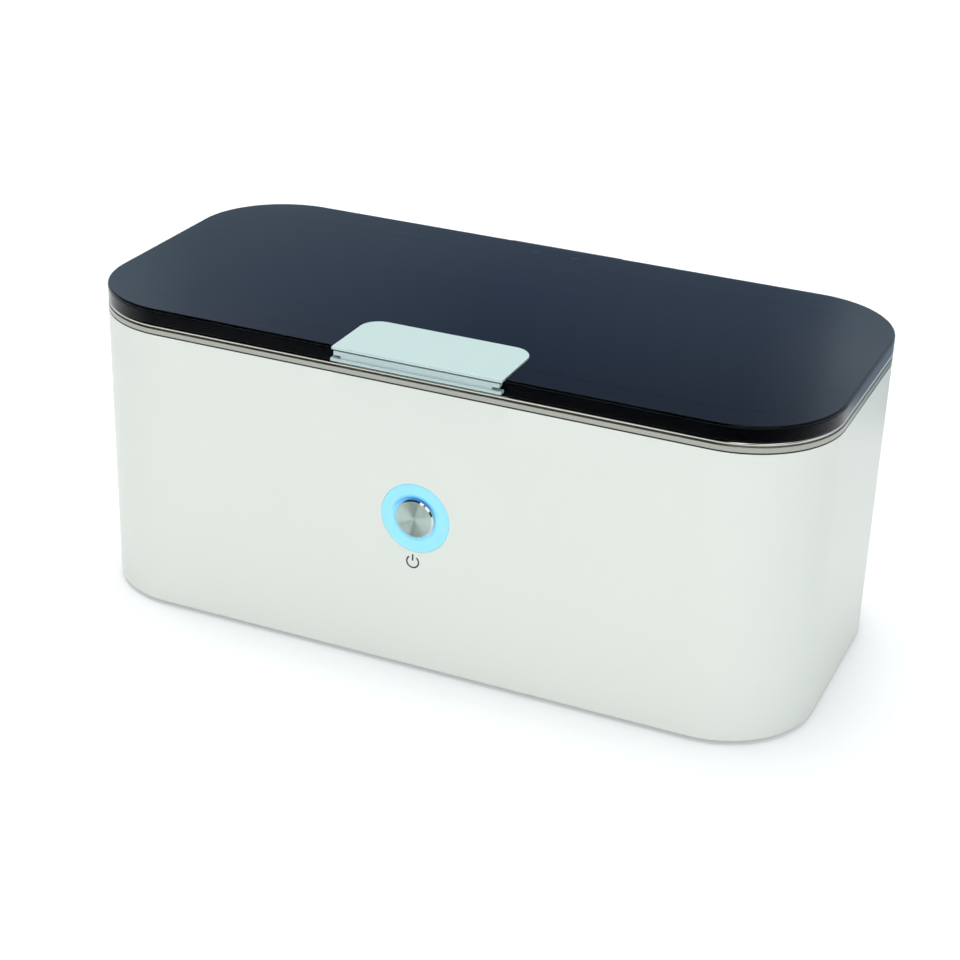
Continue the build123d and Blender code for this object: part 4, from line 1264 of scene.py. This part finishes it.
@dataclass
class Handle:
    """The pale metal handle: a plate on the lid, and a folded strip with a finger lip in front."""

    finish: Finish = PEARL
    # The strip's finish is painted darker than the plate's, as shade
    strip_finish: Finish = PEARL_SHADED_STRIP
    half: float = 23.4
    overhang: float = 1.6
    depth: float = 20.0
    corner: float = 5.5
    bottom: float = 88.0
    top: float = 88.8
    plate_edge: float = 0.18
    tape_bottom: float = 87.7
    leaf_bottom: float = 86.9
    leaf_rear: float = 9.5
    grip_half: float = 22.75
    grip_gap: float = 0.2
    strip_edge: float = 0.1
    notch_top: float = 86.6
    lip_top: float = 85.9
    lip_bottom: float = 85.1
    notch_depth: float = 2.0
    lip_overhang: float = 2.1

    def build(self) -> None:
        """Builds the plate and the folded strip and dresses them."""
        front = PLAN.front
        fold = front - self.overhang
        low, high = (-self.half, fold, self.bottom), (self.half, front + self.depth, self.top)
        plate = tongue("handle_top", low, high, self.corner)
        soften(plate, self.plate_edge, segments=3)
        weigh_normals(plate)
        dress(plate, self.finish, Body.LID)
        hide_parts("handle_plate")

        back = front - self.grip_gap
        lip = front - self.lip_overhang
        leaf = front + self.leaf_rear
        profile = [
            (leaf, self.tape_bottom),
            (fold, self.tape_bottom),
            (fold, self.lip_top),
            (lip, self.lip_top),
            (lip, self.lip_bottom),
            (back, self.lip_bottom),
            (back, self.leaf_bottom),
            (leaf, self.leaf_bottom),
        ]
        grip = prism("handle_strip", profile, self.half)
        ends = []
        for side in (-1, 1):
            for depth, high in ((0.0, self.top), (self.notch_depth, self.notch_top)):
                left, right = sorted((side * (self.grip_half - depth), side * (self.half + PAST)))
                near, far = (left, lip - PAST, self.lip_top), (right, leaf + PAST, high)
                ends.append(block("strip_end", near, far))
        cut(grip, ends)
        soften(grip, self.strip_edge, segments=2)
        weigh_normals(grip)
        dress(grip, self.strip_finish, Body.LID)
        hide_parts("handle_grip")


@dataclass
class Button:
    """The spun button, the ring that glows round it and the mark printed under it."""

    ring_finish: Finish = GLOW
    face_finish: Finish = SPUN
    edge_finish: Finish = TURNED_EDGE
    ink: Finish = INK
    ring_radius: float = 9.6
    bore: float = 6.1
    bore_chamfer: float = 0.15
    ring_proud: float = 0.2
    ring_depth: float = 2.5
    flange_radius: float = 11.5
    flange_thick: float = 1.5
    ring_edge: float = 0.4
    cap_radius: float = 5.35
    cap_proud: float = 0.7
    cap_thick: float = 1.5
    cap_bevel: float = 0.35
    face_side: float = 0.05
    face_back: float = 0.3
    edge_land: float = 0.02
    edge_side: float = 0.1
    edge_back: float = 0.2
    mark_x: float = -0.5
    mark_z: float = 32.3
    mark_proud: float = 0.02
    mark_radius: float = 1.9
    mark_stroke: float = 0.45
    mark_gap: float = 38.0
    mark_bar: float = 1.9
    mark_lift: float = 1.25
    mark_steps: int = 48

    def build(self) -> None:
        """Builds the ring, the button's cap and the printed mark."""
        self.build_ring()
        self.build_cap()
        self.print_mark()

    def build_ring(self) -> None:
        """Builds the ring that glows, with the flange that holds it behind the wall."""
        back = -self.ring_depth - self.flange_thick
        edge = self.ring_edge
        rim = arc(edge - self.ring_radius, self.ring_proud - edge, edge, 0, 90, steps=6)
        profile = [
            (self.bore, back),
            (self.flange_radius, back),
            (self.flange_radius, -self.ring_depth),
            (self.ring_radius, -self.ring_depth),
            *((-inset, along) for inset, along in rim),
            (self.bore + self.bore_chamfer, self.ring_proud),
            (self.bore, self.ring_proud - self.bore_chamfer),
            (self.bore, back),
        ]
        piece = turned("glow_ring", profile, BUTTON_CENTRE, Axis.Y, FINE_STEPS)
        dress(piece, self.ring_finish, Body.CLEANER)
        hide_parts("light_ring")

    def build_cap(self) -> None:
        """Builds the button's cap: a spun face, set in a brighter edge."""
        face, proud = self.cap_radius - self.cap_bevel, self.cap_proud
        profile = [(0.0, proud), (face, proud), (face, proud - self.face_side), (0.0, self.face_back)]
        disc = turned("button_face", profile, BUTTON_CENTRE, Axis.Y, FINE_STEPS)
        dress(disc, self.face_finish, Body.BUTTON)
        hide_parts("button_cap")
        low = proud - self.cap_thick
        profile = [
            (0.0, low),
            (self.cap_radius, low),
            (self.cap_radius, proud - self.cap_bevel),
            (face + self.edge_land, proud),
            (face, proud),
            (face, proud - self.edge_side),
            (0.0, self.edge_back),
        ]
        edge = turned("button_edge", profile, BUTTON_CENTRE, Axis.Y, FINE_STEPS)
        dress(edge, self.edge_finish, Body.BUTTON)
        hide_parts("button_cap")

    def print_mark(self) -> None:
        """Prints the plain switch mark, a broken circle with a bar, on the front face."""
        bm = bmesh.new()
        outer = bm.verts.new((mm(self.mark_radius), 0.0, 0.0))
        inner = bm.verts.new((mm(self.mark_radius - self.mark_stroke), 0.0, 0.0))
        edge = bm.edges.new((inner, outer))
        gap = math.radians(self.mark_gap)
        turn = Matrix.Rotation(-math.radians(90) - gap, 3, "Y")
        bmesh.ops.rotate(bm, verts=[outer, inner], cent=ORIGIN, matrix=turn)
        bmesh.ops.spin(
            bm,
            geom=[outer, inner, edge],
            cent=ORIGIN,
            axis=(0.0, -1.0, 0.0),
            dvec=ORIGIN,
            angle=math.tau - 2 * gap,
            steps=self.mark_steps,
        )
        bar = bmesh.ops.create_grid(bm, x_segments=1, y_segments=1, size=0.5)["verts"]
        bmesh.ops.scale(bm, vec=(mm(self.mark_stroke), mm(self.mark_bar), 1.0), verts=bar)
        upright = Matrix.Rotation(math.radians(90), 3, "X")
        bmesh.ops.rotate(bm, verts=bar, cent=ORIGIN, matrix=upright)
        bmesh.ops.translate(bm, vec=(0.0, 0.0, mm(self.mark_lift)), verts=bar)
        place = (mm(self.mark_x), mm(PLAN.front - self.mark_proud), mm(self.mark_z))
        bmesh.ops.translate(bm, vec=place, verts=bm.verts)
        dress(make_object("switch_mark", bm), self.ink, Body.CLEANER)


@dataclass
class ReturnSpring:
    """The wire spring behind the button, which in the real cleaner shortens as the button goes in."""

    finish: Finish = SPRING_WIRE
    radius: float = 5.2
    wire_radius: float = 0.25
    front: float = 5.2
    back: float = 10.1
    turns: int = 4
    steps: int = 32
    wire_sides: int = 12
    travel: float = 1.0

    def build(self) -> None:
        """Builds the spring, which rides on the button, and dresses it."""
        bm = bmesh.new()
        pitch = (self.back - self.front) / (self.turns * self.steps)
        radius = mm(self.wire_radius)
        bmesh.ops.create_circle(bm, cap_ends=False, segments=self.wire_sides, radius=radius)
        bmesh.ops.translate(bm, vec=(mm(self.radius), 0.0, 0.0), verts=bm.verts)
        bmesh.ops.spin(
            bm,
            geom=list(bm.verts) + list(bm.edges),
            cent=ORIGIN,
            axis=(0.0, 1.0, 0.0),
            dvec=(0.0, mm(pitch), 0.0),
            angle=math.tau * self.turns,
            steps=self.turns * self.steps,
        )
        ends = [edge for edge in bm.edges if len(edge.link_faces) == 1]
        bmesh.ops.holes_fill(bm, edges=ends, sides=0)
        first, z = PLAN.front + self.front, BUTTON_CENTRE[2]
        bmesh.ops.translate(bm, vec=(0.0, mm(first), mm(z)), verts=bm.verts)
        piece = dress(make_object("return_spring", bm), self.finish, Body.BUTTON)
        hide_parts("button_spring")
        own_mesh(piece)


@dataclass(frozen=True)
class KeptNodes:
    """Solids whose shape is right as it is, grouped by the finish that they get."""

    groups: tuple[tuple[Finish, tuple[str, ...]], ...] = (
        (GREY_ABS, ("base_plate",)),
        (FEET_RUBBER, ("foot_front_left", "foot_front_right", "foot_rear_left", "foot_rear_right")),
        (SILICONE, ("tank_seal",)),
        (BUMPER_RUBBER, ("lid_bumpers",)),
        (FOAM_TAPE, ("handle_tape",)),
        (
            ZINC,
            ("base_screws", "ring_screws", "board_screws", "switch_board_screws")
            + ("hinge_screws", "hinge_pin", "lid_hinge_screws", "handle_screws"),
        ),
        (BLACK_STEEL, ("hinge_bracket", "lid_hinge")),
        (BLACK_NYLON, ("inlet_socket", "tact_switch", "power_transistors")),
        # The plunger is painted glowing, with painted shade of deeper blue at its top
        (GLOW_CORE, ("button_plunger",)),
        (BRASS, ("inlet_pins", "fuse_clips")),
        (TURNED_ALUMINIUM, ("coupling_plate_left", "coupling_plate_right")),
        (SILVERED, ("piezo_disc_left", "piezo_disc_right")),
        (LAMINATE, ("main_board", "switch_board")),
        (FERRITE, ("transformer_core", "choke")),
        (YELLOW_TAPE, ("transformer_winding",)),
        (SLEEVE, ("filter_capacitor",)),
        (DIPPED_EPOXY, ("film_capacitors",)),
        (BLACK_ANODISED, ("heat_sink",)),
        (FUSE_GLASS, ("mains_fuse",)),
        (NATURAL_NYLON, ("board_connectors",)),
        (WIRE_PVC, ("inlet_wires", "transducer_wires", "switch_wires")),
        (CLEAR_EPOXY, ("ring_leds",)),
    )

    def dress(self, nodes: dict[str, Piece]) -> None:
        """Gives each kept solid its material.

        Args:
            nodes: The frame's solids by name.
        """
        for finish, names in self.groups:
            material = finish.build()
            for name in names:
                data = nodes[name].data
                data.materials.clear()
                data.materials.append(material)
                log.info("%s keeps its solid in %s", name, material.name)


# Studio


@dataclass(frozen=True)
class Lamp:
    """A soft square lamp that points at the object. Its sizes are in metres and its power in watts."""

    name: str
    place: Point
    size: float
    power: float
    colour: str
    target: Point = (0.0, 0.0, 0.04)

    def hang(self) -> None:
        """Hangs the lamp where no reflection shows it."""
        data = bpy.data.lights.new(self.name, "AREA")
        data.shape = "SQUARE"
        data.size = self.size
        data.energy = self.power
        data.color = linear(self.colour)[:3]
        lamp = bpy.data.objects.new(self.name, data)
        bpy.context.scene.collection.objects.link(lamp)
        lamp.location = self.place
        lamp.visible_glossy = False
        aim = Vector(self.target) - Vector(self.place)
        lamp.rotation_euler = aim.to_track_quat("-Z", "Y").to_euler()


@dataclass
class Studio:
    """A white floor, soft lamps, a pale world and the camera.

    Only reflections see more: a grey sky behind the object, dark and light flags before it, a dark canopy
    with bright strips above those, and a blue-grey card on the floor behind the object. Levels along x run
    from -1 on the left to 1 on the right, levels of height from 0 at the horizon to 1 overhead, and the
    floor's sizes are in metres.
    """

    floor_size: float = 12.0
    floor_colour: str = "#dfe2e3"
    floor_fade: Span = (0.35, 1.6)
    floor_glow: Span = (0.24, 0.62)
    card_colour: str = "#a0b2c4"
    card_edge: Span = (0.15, 0.19)
    ambient_light: Colour = (0.97, 0.985, 1.0, 1.0)
    ambient_strength: float = 0.56
    front_edge: Span = (-0.2, 0.1)
    canopy_edge: Span = (0.33, 0.45)
    canopy_colour: str = "#1a1c1d"
    strip_strength: float = 1.8
    # How much of a bright strip the canopy shows, along x
    strip_levels: Levels = (
        (-1.0, 0.0), (0.02, 0.0), (0.07, 1.0), (0.28, 1.0), (0.33, 0.12), (0.45, 0.12), (0.50, 1.0),
        (0.74, 1.0), (0.80, 0.0), (1.0, 0.2),
    )
    # How much of the side sky the back shows instead of the dark flag, along x
    beside_levels: Levels = (
        (-0.60, 1.0), (-0.52, 0.85), (-0.49, 0.35), (-0.45, 0.18), (-0.36, 0.0), (-0.24, 0.1),
        (-0.215, 0.3), (-0.20, 0.85), (-0.15, 1.0),
    )
    # The dark flag behind the object, by height
    flag_levels: Levels = (
        (0.0, "#ffffff"), (0.2, "#e2eaf1"), (0.31, "#94a9c0"), (0.35, "#788eb0"), (0.40, "#647795"),
        (0.50, "#7f8c9b"), (0.62, "#bfc6cc"), (1.0, "#e6eaee"),
    )
    # The side sky, by height
    side_levels: Levels = (
        (0.0, "#ffffff"), (0.2, "#e2edf2"), (0.32, "#a7c1d1"), (0.35, "#c3dcf0"), (0.37, "#dfefff"),
        (0.43, "#b0c4da"), (0.6, "#c3cad0"), (1.0, "#e6eaee"),
    )
    # What stands in front of the object, along x
    front_levels: Levels = (
        (-1.0, "#6c7276"), (-0.52, "#55574f"), (-0.38, "#55574f"), (-0.35, "#cfd1c6"),
        (-0.29, "#dcded8"), (-0.265, "#2c2f30"), (0.03, "#2c2f30"), (0.45, "#8a8f8f"),
        (0.82, "#34373a"), (0.93, "#34373a"), (1.0, "#c6d0d4"),
    )
    lamps: tuple[Lamp, ...] = (
        Lamp("overhead_lamp", (-0.2, 0.2, 1.6), 1.2, 20.5, "#fffefb"),
        Lamp("front_lamp", (0.25, -1.6, 0.35), 1.2, 8.6, "#f9fbff"),
        Lamp("corner_lamp", (1.1, -1.4, 0.5), 0.9, 3.4, "#fff3fb"),
        Lamp("end_lamp", (1.7, 0.2, 0.6), 1.0, 1.0, "#b8f0ff"),
    )
    camera_place: Point = (200.81, -478.63, 285.69)
    camera_target: Point = (2.37, -13.92, 41.0)
    camera_roll: float = 1.90
    focal_pixels: float = 2064.7
    clip: Span = (0.01, 50.0)

    def build(self) -> None:
        """Builds everything round the object."""
        self.build_floor()
        self.build_world()
        for lamp in self.lamps:
            lamp.hang()
        self.build_camera()

    def build_floor(self) -> None:
        """Lays the white floor, which keeps the object's shadow."""
        bm = bmesh.new()
        bmesh.ops.create_grid(bm, x_segments=1, y_segments=1, size=self.floor_size / 2)
        floor = make_object("studio_floor", bm)
        floor.data.materials.append(self.paper())

    def paper(self) -> bpy.types.Material:
        """Makes the floor's material: white paper that lifts to full white away from the object.

        Returns:
            The new material.
        """
        material = bpy.data.materials.new("white_paper_floor")
        material.use_nodes = True
        tree = material.node_tree
        tree.nodes.clear()
        paper = add_node(tree, "ShaderNodeBsdfDiffuse", {"Color": linear(self.floor_colour)})
        place = add_node(tree, "ShaderNodeTexCoord").outputs["Object"]
        distance = add_node(tree, "ShaderNodeVectorMath", {"operation": "LENGTH"}, {0: place})
        fade = add_node(
            tree,
            "ShaderNodeMapRange",
            dict(zip(("From Min", "From Max", "To Min", "To Max"), self.floor_fade + self.floor_glow)),
            {"Value": distance.outputs["Value"]},
        )
        lift = add_node(
            tree, "ShaderNodeEmission", {"Color": linear("#ffffff")}, {"Strength": fade.outputs["Result"]}
        )
        both = add_node(
            tree, "ShaderNodeAddShader", links={0: paper.outputs["BSDF"], 1: lift.outputs["Emission"]}
        )
        path = add_node(tree, "ShaderNodeLightPath")
        shown = path.outputs["Is Camera Ray"]
        for ray in ("Is Glossy Ray", "Is Transmission Ray"):
            either = {0: shown, 1: path.outputs[ray]}
            shown = add_node(tree, "ShaderNodeMath", {"operation": "MAXIMUM"}, either).outputs["Value"]
        along = add_node(tree, "ShaderNodeSeparateXYZ", links={0: place})
        behind = self.crossing(tree, along.outputs["Y"], self.card_edge)
        mirrored = {0: behind, 1: path.outputs["Is Glossy Ray"]}
        on_card = add_node(tree, "ShaderNodeMath", {"operation": "MULTIPLY"}, mirrored)
        card = add_node(tree, "ShaderNodeEmission", {"Color": linear(self.card_colour), "Strength": 1.0})
        carded = add_node(
            tree,
            "ShaderNodeMixShader",
            links={0: on_card.outputs["Value"], 1: both.outputs["Shader"], 2: card.outputs["Emission"]},
        )
        mixed = add_node(
            tree,
            "ShaderNodeMixShader",
            links={0: shown, 1: paper.outputs["BSDF"], 2: carded.outputs["Shader"]},
        )
        add_node(tree, "ShaderNodeOutputMaterial", links={"Surface": mixed.outputs["Shader"]})
        return material

    def crossing(self, tree: Tree, value: Socket, edge: Span) -> Socket:
        """Goes smoothly from 0 to 1 as a value crosses an edge.

        Args:
            tree: The node tree that takes it.
            value: The value that it follows.
            edge: Where the crossing starts and ends.

        Returns:
            The socket of that share.
        """
        settings = {"interpolation_type": "SMOOTHSTEP", "From Min": edge[0], "From Max": edge[1]}
        return add_node(tree, "ShaderNodeMapRange", settings, {"Value": value}).outputs["Result"]

    def reflected(self, tree: Tree) -> Socket:
        """Makes the world that reflections see.

        Args:
            tree: The world's node tree.

        Returns:
            Its colour.
        """
        place = add_node(tree, "ShaderNodeTexCoord")
        split = add_node(tree, "ShaderNodeSeparateXYZ", links={0: place.outputs["Generated"]})
        aside = add_node(tree, "ShaderNodeMapRange", {"From Min": -1.0}, {"Value": split.outputs["X"]})
        across, height = aside.outputs["Result"], split.outputs["Z"]
        beside, flag, side, ahead, strips = (
            add_node(tree, "ShaderNodeValToRGB", {"stops": ramp_stops(levels, low)}, {0: along}).outputs[0]
            for levels, low, along in (
                (self.beside_levels, -1.0, across),
                (self.flag_levels, 0.0, height),
                (self.side_levels, 0.0, height),
                (self.front_levels, -1.0, across),
                (self.strip_levels, -1.0, across),
            )
        )
        behind = self.crossing(tree, split.outputs["Y"], self.front_edge)
        overhead = self.crossing(tree, height, self.canopy_edge)
        in_front = add_node(tree, "ShaderNodeMath", {"operation": "SUBTRACT", 0: 1.0}, {1: behind})
        under_canopy = add_node(
            tree, "ShaderNodeMath", {"operation": "MULTIPLY"}, {0: in_front.outputs["Value"], 1: overhead}
        )
        colours = {6: linear(self.canopy_colour), 7: (*[self.strip_strength] * 3, 1.0)}
        blend = {"data_type": "RGBA"}
        canopy = add_node(tree, "ShaderNodeMix", blend | colours, {0: strips}).outputs[2]
        sky = add_node(tree, "ShaderNodeMix", blend, {0: beside, 6: flag, 7: side}).outputs[2]
        around = add_node(tree, "ShaderNodeMix", blend, {0: behind, 6: ahead, 7: sky}).outputs[2]
        share = under_canopy.outputs["Value"]
        return add_node(tree, "ShaderNodeMix", blend, {0: share, 6: around, 7: canopy}).outputs[2]

    def build_world(self) -> None:
        """Makes the world: plain pale light, white to the camera, and its own picture in reflections."""
        world = bpy.data.worlds.new("studio_world")
        bpy.context.scene.world = world
        world.use_nodes = True
        tree = world.node_tree
        tree.nodes.clear()
        ambient, white, mirrored = (
            add_node(tree, "ShaderNodeBackground", {"Color": colour, "Strength": strength})
            for colour, strength in (
                (self.ambient_light, self.ambient_strength),
                (linear("#ffffff"), 1.0),
                (linear("#ffffff"), 1.0),
            )
        )
        tree.links.new(self.reflected(tree), mirrored.inputs["Color"])
        path = add_node(tree, "ShaderNodeLightPath")
        clear = add_node(
            tree,
            "ShaderNodeMath",
            {"operation": "MAXIMUM"},
            {0: path.outputs["Is Camera Ray"], 1: path.outputs["Is Transmission Ray"]},
        )
        shown = ambient.outputs["Background"]
        for ray, seen in ((path.outputs["Is Glossy Ray"], mirrored), (clear.outputs["Value"], white)):
            links = {0: ray, 1: shown, 2: seen.outputs["Background"]}
            shown = add_node(tree, "ShaderNodeMixShader", links=links).outputs["Shader"]
        add_node(tree, "ShaderNodeOutputWorld", links={"Surface": shown})

    def build_camera(self) -> None:
        """Places the camera at the photograph's angle."""
        data = bpy.data.cameras.new("photo_camera")
        data.sensor_width = SENSOR_WIDTH
        data.lens = self.focal_pixels * SENSOR_WIDTH / IMAGE_WIDTH
        data.clip_start, data.clip_end = self.clip
        camera = bpy.data.objects.new("photo_camera", data)
        bpy.context.scene.collection.objects.link(camera)
        place, target = (
            Vector([mm(value) for value in point]) for point in (self.camera_place, self.camera_target)
        )
        ahead = (target - place).normalized()
        right = ahead.cross(Vector((0.0, 0.0, 1.0))).normalized()
        up = right.cross(ahead)
        roll = math.radians(self.camera_roll)
        side = right * math.cos(roll) + up * math.sin(roll)
        top = up * math.cos(roll) - right * math.sin(roll)
        rotation = Matrix((side, top, -ahead)).transposed()
        camera.matrix_world = Matrix.Translation(place) @ rotation.to_4x4()
        bpy.context.scene.camera = camera


def main() -> None:
    """Builds the whole dressed part and its studio."""
    logging.basicConfig(level=logging.INFO, format="%(name)s: %(message)s")
    for thing in list(bpy.data.objects):
        bpy.data.objects.remove(thing)
    bpy.context.scene.view_settings.view_transform = "Standard"
    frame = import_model()

    Housing().build()
    TrimBand().build()
    SeamShadeStrip().build()
    Tank().build()
    Lid().build()
    Handle().build()
    Button().build()
    ReturnSpring().build()
    KeptNodes().dress(frame["nodes"])
    Studio().build()


if __name__ == "__main__":
    main()
